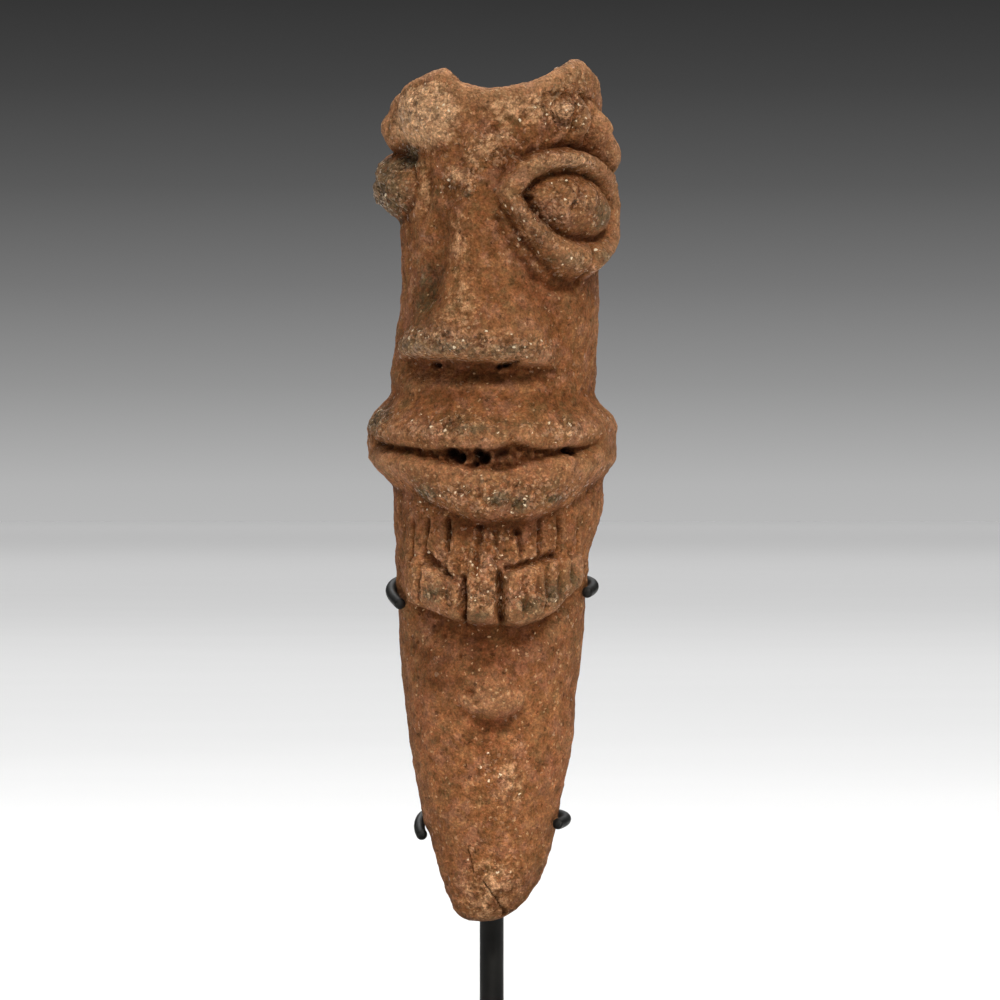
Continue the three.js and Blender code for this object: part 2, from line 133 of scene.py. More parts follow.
# The broad nose over a ledge: stations (height, half width) towards -X and +X, and (height, how far out).
NOSE_LEDGE = 146
NOSE_TILT = -0.045
NOSE_TILT_REACH = 24
NOSE_LEFT = [(140, 28), (147, 28), (152, 26), (158, 20), (166, 12.5), (176, 10), (192, 9)]
NOSE_RIGHT = [(140, 27), (147, 27), (152, 25), (158, 21.5), (166, 17), (178, 13), (192, 10)]
NOSE_OUT = [(140, 6.4), (146, 6.4), (152, 6.1), (158, 5.2), (166, 4.2), (178, 3), (192, 1.5), (200, 0)]
NOSE_ROLL = 3.4
NOSE_UNDER = 5
NOSE_UNDER_DEPTH = 2.8
NOSE_EDGE = 0.45
NOSE_EDGE_STEP = 0.7

# Shares of the nose's half width where a flank starts to fall and where it ends: towards -X below and above
# these levels, and towards +X.
NOSE_FLANK_LEVELS = (152, 166)
NOSE_FLANK_LOW = (0.5, 1.1)
NOSE_FLANK_HIGH = (0.15, 1.35)
NOSE_FLANK_RIGHT = (0.4, 1.15)

# The lips are one roll round the front. The mouth between them has an upper and a lower edge, stations
# (angle, height). Reach along the mouth or the beard is counted up to PAST_END, where 1 is its end.
PAST_END = 1.2
MOUTH_TURN = -3
MOUTH_HEIGHT = 121.6
MOUTH_RISE = 3.2
MOUTH_HALF_ANGLE = 72
MOUTH_UPPER = [
    (-74, 125.3), (-62, 124.9), (-47, 124.3), (-33, 123.5), (-18, 123.5), (-3, 123.7), (5, 124), (12, 124.9),
    (24, 123.8), (37, 123.6), (48, 124), (56, 124.6), (62, 125),
]
MOUTH_LOWER = [
    (-74, 124.1), (-62, 122.6), (-47, 121.2), (-33, 119.9), (-18, 118.4), (-3, 117.6), (5, 117.2),
    (12, 117.6), (24, 119.6), (37, 120.7), (48, 121.6), (56, 122.9), (62, 124.8),
]
MOUTH_DEPTH = 3
MOUTH_EDGE = (-0.2, 0.9)
LIP_TOP = 139
LIP_OUT = 6.3
LIP_EDGE = [
    (-132, 116), (-80, 112), (-50, 111.4), (-36, 109), (-20, 106), (-6, 104.3), (6, 103.8), (18, 104),
    (30, 105.4), (48, 108), (70, 110.6), (132, 114),
]
LIP_ROLL = 3.4
LIP_ROLL_DEPTH = 1.3
LIP_FULL_ANGLE = 92
LIP_END_ANGLE = 132

# Shares of each lip's height that stay full, the reach from which the lower lip softens, and its roundness.
LIP_FLAT_ABOVE = 0.24
LIP_FLAT_BELOW = 0.3
LIP_FULL_REACH = 0.3
LIP_FULL_POWERS = (3, 0.6)

# The beard is a low apron under the lips with a curved lower edge, stations (angle, height).
BEARD_TURN = 1
BEARD_HALF_ANGLE = 66
BEARD_LEVEL = 78
BEARD_EDGE = [
    (-180, 88), (-75, 86.5), (-66, 84.4), (-52, 83), (-38, 81.6), (-26, 79.6), (-12, 78.3), (4, 77.8),
    (18, 77.5), (28, 78.8), (40, 81.8), (50, 85.4), (62, 88), (180, 88),
]
BEARD_TOP = 106
BEARD_OUT = 2.2
BEARD_THIN_OUT = 0.5
BEARD_STEP = 1
BEARD_UNDER = 7
BEARD_UNDER_DEPTH = 1.7
BEARD_UNDER_MIDDLE = 0.3
BEARD_FADE = (0.75, 1.1)
BEARD_UNDER_FADE = (0.6, 1.1)

# Raised blocks of the beard: angles of both sides, (height at the first side, at the second) of the top
# edge, how far out at the top and at the bottom.
BEARD_BLOCKS = [
    dict(sides=(-61, -46), top=(97, 95.5), out=(0.9, 1.3)),
    dict(sides=(-44, -18.4), top=(94.8, 88.8), out=(2.1, 2.3)),
    dict(sides=(-15.8, 3.4), top=(98, 97), out=(0.2, 2.6)),
    dict(sides=(7.2, 61), top=(91.7, 97.6), out=(1.8, 2.7)),
]
BLOCK_EDGE = 1.4
BLOCK_ROUND = 3.4
BLOCK_TOE = 0.8

# Ridges (half width, how far out, points of (angle, height)): the forehead's slanting ridge, the crests on
# the eyeball beside its crease, and the fold under the knob on the brow.
RIDGES = [
    (2.6, 0.9, [(5, 205.4), (-5.3, 201.5), (-14, 198), (-27, 192.6)]),
    (2.4, 0.9, [(40, 191), (35, 187.6), (32.5, 184.6)]),
    (3, 0.8, [(51, 190), (50, 187)]),
    (1.5, 0.8, [(38, 208), (41, 206), (36, 203.4)]),
]

# Cuts (half width, depth, points of (angle, height)).
CUTS = [
    # The creases over the large eye's coil, round the brow and its knob, and under the rim's peak.
    (1.3, 2.5, [
        (13.6, 198.1), (17.6, 199.6), (26.3, 200.7), (40.7, 201.4), (61, 201), (72, 199.2), (84, 196.4),
    ]),
    (1.4, 3.3, [(58, 213.4), (59, 208), (58.6, 203)]),
    (1.2, 1.2, [(27.5, 214.8), (37.8, 214.6), (47.8, 215.3), (67, 214.4)]),
    (1.2, 2.5, [(47, 214), (45.8, 210.6), (44.6, 205.6)]),
    (0.5, 0.9, [(39, 210.5), (43, 211.3)]),
    (0.9, 1.4, [(33.4, 213.2), (31.8, 210.8), (33.4, 208.4), (37, 207.2), (41, 207.3)]),
    # The groove under the large eye's coil, and the dent across its outer end.
    (1.9, 0.9, [(-3, 182.4), (2.6, 177.4), (10, 172.6), (20.6, 167.8), (32.5, 164.8), (47, 164)]),
    (1.5, 1.2, [(57, 177), (54, 172), (51, 166)]),
    # The crease on the eyeball.
    (1.8, 0.35, [(46.6, 190.3), (41.6, 187.8), (38.4, 185.8)]),
    # The hollow beside the nose's -X flank, and the grooves over and beside the small eye.
    (6, 1.3, [(-40, 180), (-40, 168), (-39, 156)]),
    (2.2, 0.9, [(-82, 201), (-74, 200.4), (-64, 199)]),
    (2.6, 1.1, [(-47, 195), (-48.7, 187.4), (-51, 183.6)]),
    # The fold that runs on from the slit nostril, shallower as it goes.
    (1.8, 2.5, [(14, 144.4), (22, 143.9)]),
    (1.5, 1.7, [(20, 144), (29, 143.5)]),
    (1.1, 1, [(27, 143.5), (35, 143.7), (40, 143.2)]),
    # The crack through the upper lip.
    (1.2, 1.5, [(10.6, 125.8), (9, 125), (7.4, 124.3), (4, 123)]),
    # The beard's upper row of strokes.
    (1.4, 1.5, [(-54.7, 105), (-53.4, 94.6)]),
    (1.4, 1.9, [(-42, 105), (-43.4, 100), (-44.6, 96)]),
    (1.7, 2.8, [(-28.2, 105), (-27.4, 98)]),
    (1.3, 1.2, [(-7, 103), (-9.2, 97.4), (-9.6, 91.4)]),
    (1.3, 1, [(1.9, 102), (1.6, 94)]),
    (1.4, 1.7, [(15.4, 102), (17, 95.6)]),
    (1.4, 1.7, [(29.2, 104), (29, 95.6)]),
    (1.3, 1.6, [(42.4, 105), (41.8, 97)]),
    (1.2, 1, [(58.8, 105), (59.5, 96)]),
    # The two slanting cuts between the rows.
    (2.2, 2.6, [(-44, 96.4), (-35.6, 93.6), (-30, 92)]),
    (1.5, 2, [(-32, 92.6), (-25, 89.8)]),
    (1.5, 1.7, [(8.4, 92), (11.7, 92.4), (22, 93.8), (31, 94.8), (40.4, 96)]),
    # The beard's lower row of strokes.
    (0.9, 1.2, [(-61.6, 96), (-60, 86)]),
    (1.3, 2.2, [(-44.8, 93), (-44.6, 85.6)]),
    (1.8, 1, [(-25.4, 88.6), (-25, 81.6)]),
    (1.4, 2.5, [(-17, 89.6), (-16.8, 84), (-17.6, 78)]),
    (1.6, 3, [(4.4, 90.4), (5.4, 84.2), (6, 77.4)]),
    (1.9, 1, [(17.8, 91.6), (18, 80)]),
    (1.3, 0.7, [(25.8, 92.4), (26, 85)]),
    (1.7, 1.2, [(31.2, 93.4), (30.6, 82)]),
    (1.7, 1.1, [(40.4, 94), (39.8, 84.6)]),
    (1.5, 0.9, [(49.4, 95), (49.4, 87.6)]),
]

# The cracks in the tip, as the cuts.
CRACKS = [
    (0.5, 1, [(-9.6, 11.4), (0.2, 8.7), (8.4, 7), (23.3, 4.5), (56.4, 1.6)]),
    (0.5, 0.7, [(-23.6, 20.4), (-22.7, 17.4), (-20.8, 14.4)]),
]

# Pits (angle, height, half width, half height, depth).
PITS = [
    (9.4, 117.6, 1.6, 1.4, 1.6), (50, 123.6, 1.5, 0.9, 1.5), (53.5, 205.4, 1.3, 1.2, 1.8),
    (62.4, 202.9, 1.3, 1.3, 1.6), (-49, 208.4, 2.2, 1.6, 0.4), (38.8, 95.6, 1.4, 0.9, 0.8),
    (-12.8, 60.4, 2.6, 1.5, 2), (-8.6, 57.6, 2, 1.2, 1.4), (-20.8, 69.1, 1, 0.9, 0.8),
    (-6.6, 51.1, 0.9, 0.7, 0.7), (8, 55, 2.2, 1.2, 0.6), (12, 63, 1.4, 1.8, 0.6), (24, 21, 1, 0.9, 0.8),
    (86, 70.4, 3, 1.4, 0.7), (30, 36, 1.1, 0.8, 0.6), (-42, 34, 1, 0.9, 0.5),
]

# Deep holes (angle, height, half width, half height, depth), below whatever else is cut there.
HOLES = [
    # The nostrils.
    (-40, 144.9, 2.6, 1, 2.6), (3.4, 144.6, 1.8, 1, 2.6), (7.6, 145.1, 2, 1.1, 3.4),
    (12, 145.7, 1.6, 0.9, 2.6),
    # The eye's inner corner.
    (15.4, 187.5, 2.2, 1.5, 1.6),
    # The mouth.
    (-22, 121.8, 2.4, 1.7, 3.8), (-18, 120.8, 2.6, 2, 4.4), (-6.4, 122.4, 2.2, 1.8, 4),
    (-3.2, 121, 2.6, 2.1, 4.4), (-8, 119.6, 1.8, 1.3, 2.6), (42, 122.6, 2, 1.5, 3.8),
    (45, 122, 2, 1.6, 3.6), (6, 121.8, 3, 1.6, 1.6),
    # The tops of the beard's strokes, and its edge.
    (-42, 104, 1, 1.4, 1.6), (-28.2, 103.4, 1, 1.8, 1.2), (-8, 103, 3.2, 1, 1.2), (1.9, 101.8, 2.4, 0.9, 1),
    (15, 101.4, 2.2, 1.1, 1.2), (29.2, 101.2, 0.9, 0.8, 0.9), (42.4, 102, 1, 1, 1.3),
    (40, 95.8, 1.3, 0.8, 1.2), (-44.6, 88, 1, 2, 1.2), (-17.4, 79.6, 1.3, 2, 1.6), (6, 79.4, 1.4, 2.4, 1.4),
    (22.6, 93.8, 1.2, 0.8, 0.9),
]

# The figure's skin: points in a ring, crowded towards the face, rows (up to this height, how many), rings of
# the top (share of the radius, share of the drop to its middle), and heights where the rows run level.
RING_POINTS = 312
FRONT_CROWDING = 0.6
SIDE_CROWDING = 0.075
WALL_ROWS = [
    (0.3, 1), (2, 4), (12, 24), (22, 12), (74, 42), (106, 60), (148, 72), (172, 26), (210.5, 60),
]
RIM_ROWS = 6
TOP_RINGS = [(0.84, 0.16), (0.74, 0.35), (0.65, 0.6), (0.56, 0.8), (0.43, 0.9), (0.3, 0.97), (0.15, 1)]
BODY_LEVEL = 60
CHEEK_LEVEL = 172
BROW_LEVEL = 196

# Unevenness of the hand-worked clay, the same in every run: (size, amplitude) of the carving's wander, of the
# surface and of the crust. It leaves off towards the tip, and the mouth is crumbly inside its edge.
NOISE_SEED = 7
WANDER = [(24, 0.6), (7, 0.5), (3, 0.3), (1.5, 0.2)]
UNEVEN = [(18, 0.5), (5.5, 0.34), (2.4, 0.26), (1.2, 0.2)]
CRUMBLE_SIZE = 1.7
CRUMBLE = 1.6
CRUMBLE_EDGE = 0.8
TIP_STILL = 4
TIP_SMOOTH = 3
CRUST = [(3.2, 0.6), (1.5, 0.75)]

# Patches (angle, height, half width, half height, strength) of soot, pale wear, red clay and glinting crust.
# The pale patch on the tip is wear and painted light, and those on the beard's blocks are painted highlights.
SOOT = [
    (-84, 191, 19, 14, 1.3), (-64, 199, 9, 6, 1.2), (-19, 189, 3, 2, 1), (-48, 150, 18, 5, 0.9),
    (-22, 149.4, 13, 3.4, 0.8), (4, 148.6, 14, 3, 0.8), (-76, 131, 14, 7, 1), (22, 82, 8, 8, 0.8),
    (36, 86, 9, 8, 0.9), (50, 90, 7, 7, 0.8), (-34, 86, 9, 6, 0.8), (-8, 80, 8, 3, 0.8),
    (62, 184, 8, 7, 1.1), (44, 181.6, 9, 4, 0.5), (64, 173, 8, 3, 1), (3, 110.4, 6, 4, 1),
    (14, 109, 6, 4, 1), (35, 110.4, 5, 3, 1), (-37, 111.8, 8, 4, 1), (-10, 128, 12, 3, 0.7),
    (22, 180, 6, 6, 0.55), (34, 172, 10, 4, 0.65), (-47, 165, 12, 16, 0.75), (-44, 156, 12, 8, 0.6),
    (-100, 60, 30, 40, 0.5), (54, 209, 3, 7, 0.8), (-8, 58.6, 4, 3, 0.5),
]
PALE_WEAR_AND_LIGHT = [
    (-49, 210, 18, 13, 1.9), (-2, 204, 9, 3.4, 0.6), (-8, 201.6, 8, 3.4, 0.6), (-14, 198.6, 8, 3.4, 0.6),
    (-24, 193.6, 9, 5, 0.65), (42, 219, 16, 5, 0.6), (38, 210.5, 5, 5, 0.9), (8, 211, 22, 8, 0.6),
    (16, 36, 8, 12, 0.5), (-24, 176, 6, 14, 0.5), (-52, 166, 12, 20, 0.35), (-20, 160, 8, 14, 0.5),
    (0, 7, 34, 16, 0.6), (36, 128, 12, 3, 0.45), (-6, 84, 9, 5, 0.5), (-30, 92, 8, 4, 0.5),
    (-52, 190, 5, 14, 0.5), (40, 197.5, 16, 4, 0.55), (14, 178, 5, 8, 0.4),
]
RUDDY = [
    (-3, 150, 7, 3, 1), (66, 203, 8, 5, 0.8), (42, 211, 3, 2, 1), (20, 164, 14, 9, 0.6),
    (-20, 118, 18, 6, 0.7), (20, 116, 16, 6, 0.7), (18, 88, 8, 6, 0.8), (-60, 50, 16, 20, 0.7),
    (70, 40, 18, 26, 0.7), (0, 56, 26, 30, 0.5),
]
ENCRUSTED = [
    (-49, 210, 17, 13, 1), (-84, 191, 19, 13, 1.3), (-62, 198, 10, 7, 1.2), (-8, 201, 20, 8, 1),
    (-24, 193, 10, 8, 1), (40, 212, 20, 9, 1), (-30, 150.5, 30, 7, 1.7), (10, 149, 14, 5, 1.6),
    (20, 182, 14, 14, 1), (44, 172, 16, 6, 1), (40, 187, 16, 9, 1), (34, 198, 18, 4, 1),
    (-76, 130, 14, 8, 1.1), (-20, 129, 22, 5, 1), (36, 128, 16, 4, 1), (0, 111, 40, 7, 1.1),
    (-4, 92, 34, 16, 0.8), (0, 85.6, 36, 7.4, 1.2), (14, 38, 14, 18, 0.5), (0, 14, 22, 10, 0.3),
]

# Painted shade, in the same form: places darkened as the shade under the beard, the lip, the nose and the
# navel.
PAINTED_SHADE_PATCHES = [
    (0, 73, 38, 9, 1.1), (-36, 67, 16, 14, 0.75), (30, 72, 16, 9, 0.6), (0, 103, 42, 6, 0.85),
    (2, 51.6, 10, 4, 0.5), (2, 63, 15, 11, 0.4), (-30, 139, 18, 7, 0.4),
]

# How far a place stands out from its near and its wide surroundings, averaged this often, to count as fully
# worn, or fully hollow for the painted shade in hollows. Then the edge of the painted shade inside the mouth,
# and how dark the painted shade in holes and cracks is.
NEAR_BLUR = 6
WIDE_BLUR = 120
NEAR_FULL = 0.3
WIDE_WORN = 1.8
WIDE_HOLLOW = 1.5
MOUTH_SHADE_EDGE = (-0.1, 0.7)
HOLE_SHADE = 0.5
CRACK_SHADE = 0.85

# The stand. The wire rests a hair clear of the clay, and a bead of braze joins it to the rod. SUPPORT is how
# far a ring that keeps a face flat lies from its eased edge.
ROD_RADIUS = 3.175
ROD_SIDES = 48
ROD_EASE = 0.6
ROD_ABOVE_CLAW = 6
ROD_ABOVE_FLOOR = 0.5
WIRE_RADIUS = 1.45
WIRE_SIDES = 20
WIRE_STEPS = 220
WIRE_EASE = 0.7
WIRE_LEAVES_CLAY = 100
ARM_POINTS = 12
ARM_EASE = 30
ARM_LEVEL = 125
CONTACT_GAP = 0.3
BRAZE_OUT = 0.55
BRAZE_REACH = 4.5
CLAWS = [
    dict(name="upper_claw_wire", back=89.2, ends=[(-64, 80.6), (70, 84.5)]),
    dict(name="lower_claw_wire", back=27.6, ends=[(-80, 19.6), (63.5, 25)]),
]
PLATE_CORNER = 3
PLATE_EASE = 0.8
PLATE_CORNER_STEPS = 8
PLATE_SIDE_STEPS = 16
EASE_STEPS = 4
SUPPORT = 0.25

# The camera's distance and height, its sideways place, and how much of the object it takes in there.
CAMERA_AWAY = 2200
CAMERA_HEIGHT = 158
CAMERA_ASIDE = 2.2
CAMERA_VIEW = 261
SENSOR = 36

# Colours of the clay and the paint, in linear light, and of the clay's patches with their strengths.
CLAY_DARK = (0.175, 0.064, 0.021)
CLAY = (0.235, 0.09, 0.031)
CLAY_LIGHT = (0.31, 0.132, 0.051)
CLAY_RED = (0.28, 0.093, 0.039)
CLAY_OLIVE = (0.15, 0.088, 0.034)
CLAY_PINK = (0.31, 0.137, 0.078)
CLAY_PALE = (0.66, 0.385, 0.205)
SOOT_GREY = (0.05, 0.041, 0.02)
GRAIN_CREAM = (0.6, 0.4, 0.22)
# Painted highlight: the colour of the white grains on the crust.
PAINTED_GLINT_WHITE = (0.85, 0.72, 0.52)
PORE_DARK = (0.25, 0.2, 0.17)
# Painted shade: how the clay darkens in hollows, inside the mouth, and in holes and cracks.
HOLLOW_SHADE_DARK = (0.45, 0.37, 0.32)
MOUTH_SHADE_DARK = (0.6, 0.55, 0.51)
DEEP_SHADE_DARK = (0.1, 0.08, 0.07)
GLINT_WARM = (1, 0.82, 0.6)
PATCH_TINTS = [("ruddy", CLAY_RED, 0.6), ("pale", CLAY_PALE, 0.8), ("soot", SOOT_GREY, 0.9)]
PAINT_BLACK = (0.005, 0.0049, 0.0044)
PAINT_DUSTY = (0.01, 0.0097, 0.0086)

# Sizes of the clay's markings, how ragged the grains' outlines are, and sizes of the paint's unevenness.
STAIN_SIZE = 14
CAST_SIZE = 6
MOTTLE_SIZE = 2.6
CLUMP_SIZE = 3.6
PORE_SIZE = 1.5
GRAIN_SIZE = 0.85
FACET_SIZE = 0.7
GRIT_SIZE = 0.55
RAGGED_SIZE = 0.8
RAGGED_REACH = 0.7
PAINT_CLOUD = 9
PAINT_SHEEN = 3
PAINT_GRAIN = 0.7

# The studio, in metres but for the size of the floor's clouds: heights in the sky (0 at the horizon, 1
# overhead) with their grey, the floor, and the lights (name, place, aim, size, power, spread, colour).
SKY = [
    (-0.01, 0.478), (0, 0.478), (0.0144, 0.284), (0.0262, 0.173), (0.0381, 0.0963), (0.05, 0.0535),
    (0.0618, 0.0312), (0.12, 0.0312), (0.45, 0.06), (0.75, 0.85), (1, 0.85),
]
SKY_STRENGTH = 1.0
FLOOR_RADIUS = 60
FLOOR_SIDES = 64
FLOOR_CLOUD = 400
FLOOR_ROUGHNESS = 0.9
FLOOR_PALE = (0.87, 0.87, 0.87)
FLOOR_SHADE = (0.84, 0.84, 0.84)
FIGURE_MIDDLE = (0, 0, 0.16)
WARM = (1, 0.95, 0.87)
PLAIN = (1, 1, 1)
LIGHTS = [
    ("key", (0.28, -0.88, 1.3), FIGURE_MIDDLE, 0.28, 12.4, 180, WARM),
    ("fill", (-0.9, -0.7, 0.5), FIGURE_MIDDLE, 0.6, 0.55, 180, WARM),
    ("side", (0.95, -0.3, 0.6), FIGURE_MIDDLE, 0.5, 0.85, 180, WARM),
    ("body_fill", (0.1, -0.75, 0.36), (0, 0, 0.035), 0.12, 0.055, 20, WARM),
    ("floor_glow", (0, 4, 6), (0, 4, 0), 4, 150, 180, PLAIN),
    ("floor_near", (0, 1.2, 2.6), (0, 1.2, 0), 1.2, 10.5, 110, PLAIN),
    ("floor_far", (0, 16, 12), (0, 16, 0), 8, 240, 180, PLAIN),
    ("floor_end", (0, 46, 18), (0, 46, 0), 8, 180, 180, PLAIN),
]


def smoothstep(value, low, high):
    t = np.clip((value - low) / (high - low), 0, 1)
    return t * t * (3 - 2 * t)


def lerp(a, b, t):
    return a + (b - a) * t


def arc(angle):
    """Length along the surface for an angle in degrees."""
    return GIRTH_RADIUS * np.radians(angle)


def full_turn(count):
    """Angles in radians of points evenly round a circle."""
    return np.arange(count) / count * 2 * np.pi


def unit(vectors):
    return vectors / np.maximum(np.linalg.norm(vectors, axis=-1, keepdims=True), 1e-9)


def lengths(path):
    """How far along a path each of its points lies."""
    return np.concatenate([[0], np.cumsum(np.linalg.norm(np.diff(path, axis=0), axis=1))])


def dome(q):
    """Round section of a coil: 1 in the middle, 0 at plus and minus 1."""
    return np.maximum(0, 1 - q * q) ** DOME_POWER


def swell(q):
    """Soft swelling: 1 in the middle, running out level at plus and minus 1."""
    return np.maximum(0, 1 - q * q) ** 2


def union(heights):
    """Soft union: the tallest wins and the joints between them are filled a little."""
    return np.cbrt(sum(height**3 for height in heights))


def through(stations, place):
    """Smooth curve through stations (place, value)."""
    x, y = np.array(stations, float).T
    chord = (y[2:] - y[:-2]) / (x[2:] - x[:-2])
    first = (y[1] - y[0]) / (x[1] - x[0])
    last = (y[-1] - y[-2]) / (x[-1] - x[-2])
    slope = np.concatenate([[first], chord, [last]])
    at = np.clip(place, x[0], x[-1])
    i = np.clip(np.searchsorted(x, at) - 1, 0, len(x) - 2)
    span = x[i + 1] - x[i]
    t = (at - x[i]) / span
    bend = span * (slope[i] * t * (1 - t) ** 2 - slope[i + 1] * t * t * (1 - t))
    return lerp(y[i], y[i + 1], t * t * (3 - 2 * t)) + bend


def path_distance(path, angle, height):
    """Distance along the surface from a path of (angle, height) points."""
    nearest = np.full(np.shape(angle), np.inf)
    for (turn, low), (next_turn, high) in zip(path, path[1:]):
        across = arc(angle - turn)
        up = height - low
        run = arc(next_turn - turn)
        rise = high - low
        t = np.clip((across * run + up * rise) / (run * run + rise * rise), 0, 1)
        nearest = np.minimum(nearest, np.hypot(across - t * run, up - t * rise))
    return nearest


def column_radius(angle, height):
    """Radius of the bare column, an oval that is a little shallower than it is wide."""
    left = 1 - np.clip(height, 0, TAPER_HEIGHT) / TAPER_HEIGHT
    taper = TAPER_HALF_WIDTH * (1 - left**TAPER_POWER) ** TIP_POWER
    wide = np.where(height >= TAPER_HEIGHT, through(COLUMN, height), taper)
    across = np.sin(np.radians(angle))
    along = np.cos(np.radians(angle))
    flat = np.where(along > 0, FRONT_DEPTH, BACK_DEPTH)
    return wide * flat / np.hypot(flat * across, along)


def lens_distance(along, across, length, opening):
    """Distance from the edge of a lens-shaped opening, pointed at its inner end and round at its outer."""
    bow = (length * length + opening * opening) / (2 * opening)
    pointed = np.hypot(along, np.abs(across) + bow - opening) - bow
    reach = np.hypot(along / length, across / opening)
    steepness = np.maximum(np.hypot(along / length**2, across / opening**2), 1e-6)
    return np.maximum(np.where(along < 0, pointed, reach * (reach - 1) / steepness), -opening)


def eye_height(eye, angle, height):
    """An eye: the coil round the opening, and the ball in it over a sunk floor."""
    along = eye["side"] * arc(angle - eye["turn"])
    across = height - eye["height"] + eye["rise"] * along / eye["length"]
    distance = lens_distance(along, across, eye["length"], eye["opening"])
    under_inner = smoothstep(-across, 0, eye["opening"]) * smoothstep(-along, -eye["length"], 0)
    inner = smoothstep(-along / eye["length"], *COIL_CHANGE)
    half = lerp(lerp(eye["coil"], eye["under"], under_inner), eye["inner"], inner) / 2
    from_crest = distance / half - 1
    skirt = lerp(OUTER_SKIRT, eye["skirt"], smoothstep(-along / eye["length"], *SKIRT_CHANGE))
    coil = eye["out"] * np.where(from_crest < 0, dome(from_crest), swell(from_crest / skirt))
    inside = np.maximum(0, -distance - eye["gap"]) / (eye["opening"] - eye["gap"])
    ball = eye["ball"] * dome(1 - inside)
    return np.where(distance >= 0, coil, np.maximum(EYE_FLOOR, ball))


def mound_height(mound, angle, height):
    turn, middle, across, up, out = mound
    return out * swell(np.hypot(arc(angle - turn) / across, (height - middle) / up))


def patches(spots, angle, height):
    """The strength of each patch in its middle, running out to 0 at its edge."""
    return np.max([mound_height(spot, angle, height) for spot in spots], axis=0)


def lines(paths, angle, height):
    """The strength of each line in its middle, running out to 0 at its sides."""
    found = [full * swell(path_distance(path, angle, height) / half) for half, full, path in paths]
    return np.max(found, axis=0)


def lump_height(angle, height):
    off = np.hypot(arc(angle - LUMP_TURN) / LUMP_ACROSS, (height - LUMP_HEIGHT) / LUMP_UP)
    return LUMP_OUT * dome(off) ** LUMP_POWER


def navel_height(angle, height):
    across = arc(angle - NAVEL_TURN) / NAVEL_ACROSS
    up = height - NAVEL_HEIGHT
    above = swell(np.hypot(across, up / NAVEL_ABOVE))
    below = dome(np.minimum(1, np.hypot(across, up / NAVEL_BELOW)))
    return NAVEL_OUT * lerp(below, above, smoothstep(up, -NAVEL_BLEND, NAVEL_BLEND))


def ledge_height(angle):
    """Height of the nose's ledge at an angle."""
    return NOSE_LEDGE + NOSE_TILT * np.clip(arc(angle - FACE_TURN), -NOSE_TILT_REACH, NOSE_TILT_REACH)


def nose_flank(angle, height):
    """1 along the nose's ridge, falling to 0 at its sides. The upper part of the -X side is steep."""
    off = arc(angle - FACE_TURN)
    wide = np.where(off < 0, through(NOSE_LEFT, height), through(NOSE_RIGHT, height))
    upper = smoothstep(height, *NOSE_FLANK_LEVELS)
    flanks = zip(NOSE_FLANK_LOW, NOSE_FLANK_HIGH, NOSE_FLANK_RIGHT)
    start, end = [np.where(off < 0, lerp(low, high, upper), right) for low, high, right in flanks]
    return 1 - smoothstep(np.abs(off) / wide, start, end)


def nose_height(angle, height):
    """The nose, which widens downwards and rolls under at its ledge."""
    ledge = ledge_height(angle)
    roll = np.clip((height - ledge) / NOSE_ROLL, 0, 1)
    step = NOSE_EDGE * smoothstep(height, ledge - NOSE_EDGE_STEP, ledge)
    edge = lerp(step, 1, np.sqrt(1 - (1 - roll) ** 2))
    return through(NOSE_OUT, height) * nose_flank(angle, height) * edge


def under_nose_depth(angle, height):
    """The hollow under the nose's ledge."""
    below = (ledge_height(angle) - height - NOSE_UNDER / 2) / NOSE_UNDER
    return NOSE_UNDER_DEPTH * swell(below) * nose_flank(angle, np.full_like(angle, NOSE_LEDGE))


def mouth_reach(angle):
    """How far along the mouth an angle lies: 0 in the middle, 1 at either end of the slit."""
    return np.abs(angle - MOUTH_TURN) / MOUTH_HALF_ANGLE


def slit_height(angle):
    """Height of the mouth's middle at an angle."""
    return MOUTH_HEIGHT + MOUTH_RISE * np.minimum(PAST_END, mouth_reach(angle)) ** 2


def mouth_inside(angle, height):
    """How far inside the mouth's edges a point lies, negative outside them."""
    inside = np.minimum(through(MOUTH_UPPER, angle) - height, height - through(MOUTH_LOWER, angle))
    ends = arc(np.minimum(angle - MOUTH_UPPER[0][0], MOUTH_UPPER[-1][0] - angle))
    return np.minimum(inside, ends)


def lip_height(angle, height):
    """Both lips as one roll that fades out round the back. The lower lip is fullest in the middle."""
    fade = 1 - smoothstep(np.abs(angle - MOUTH_TURN), LIP_FULL_ANGLE, LIP_END_ANGLE)
    slit = slit_height(angle)
    up = np.clip((height - slit) / (LIP_TOP - slit), 0, 1)
    down = np.clip((slit - height) / (slit - through(LIP_EDGE, angle)), 0, 1)
    steep, blunt = LIP_FULL_POWERS
    full = (1 - down**steep) ** blunt
    soft = 1 - smoothstep(down, LIP_FLAT_BELOW, 1)
    under = lerp(full, soft, smoothstep(mouth_reach(angle), LIP_FULL_REACH, 1))
    return LIP_OUT * fade * (1 - smoothstep(up, LIP_FLAT_ABOVE, 1)) * under


def mouth_depth(angle, height):
    """The mouth, with lips that roll into it."""
    inside = mouth_inside(angle, height)
    rolled = LIP_ROLL_DEPTH * np.clip(1 + inside / LIP_ROLL, 0, 1) ** 2
    return np.maximum(rolled * (inside > -LIP_ROLL), MOUTH_DEPTH * smoothstep(inside, *MOUTH_EDGE))


def beard_reach(angle):
    """How far along the beard an angle lies, 1 at either end."""
    return np.minimum(PAST_END, np.abs(angle - BEARD_TURN) / BEARD_HALF_ANGLE)


def beard_edge(angle):
    """Height of the beard's lower edge at an angle."""
    return through(BEARD_EDGE, angle)


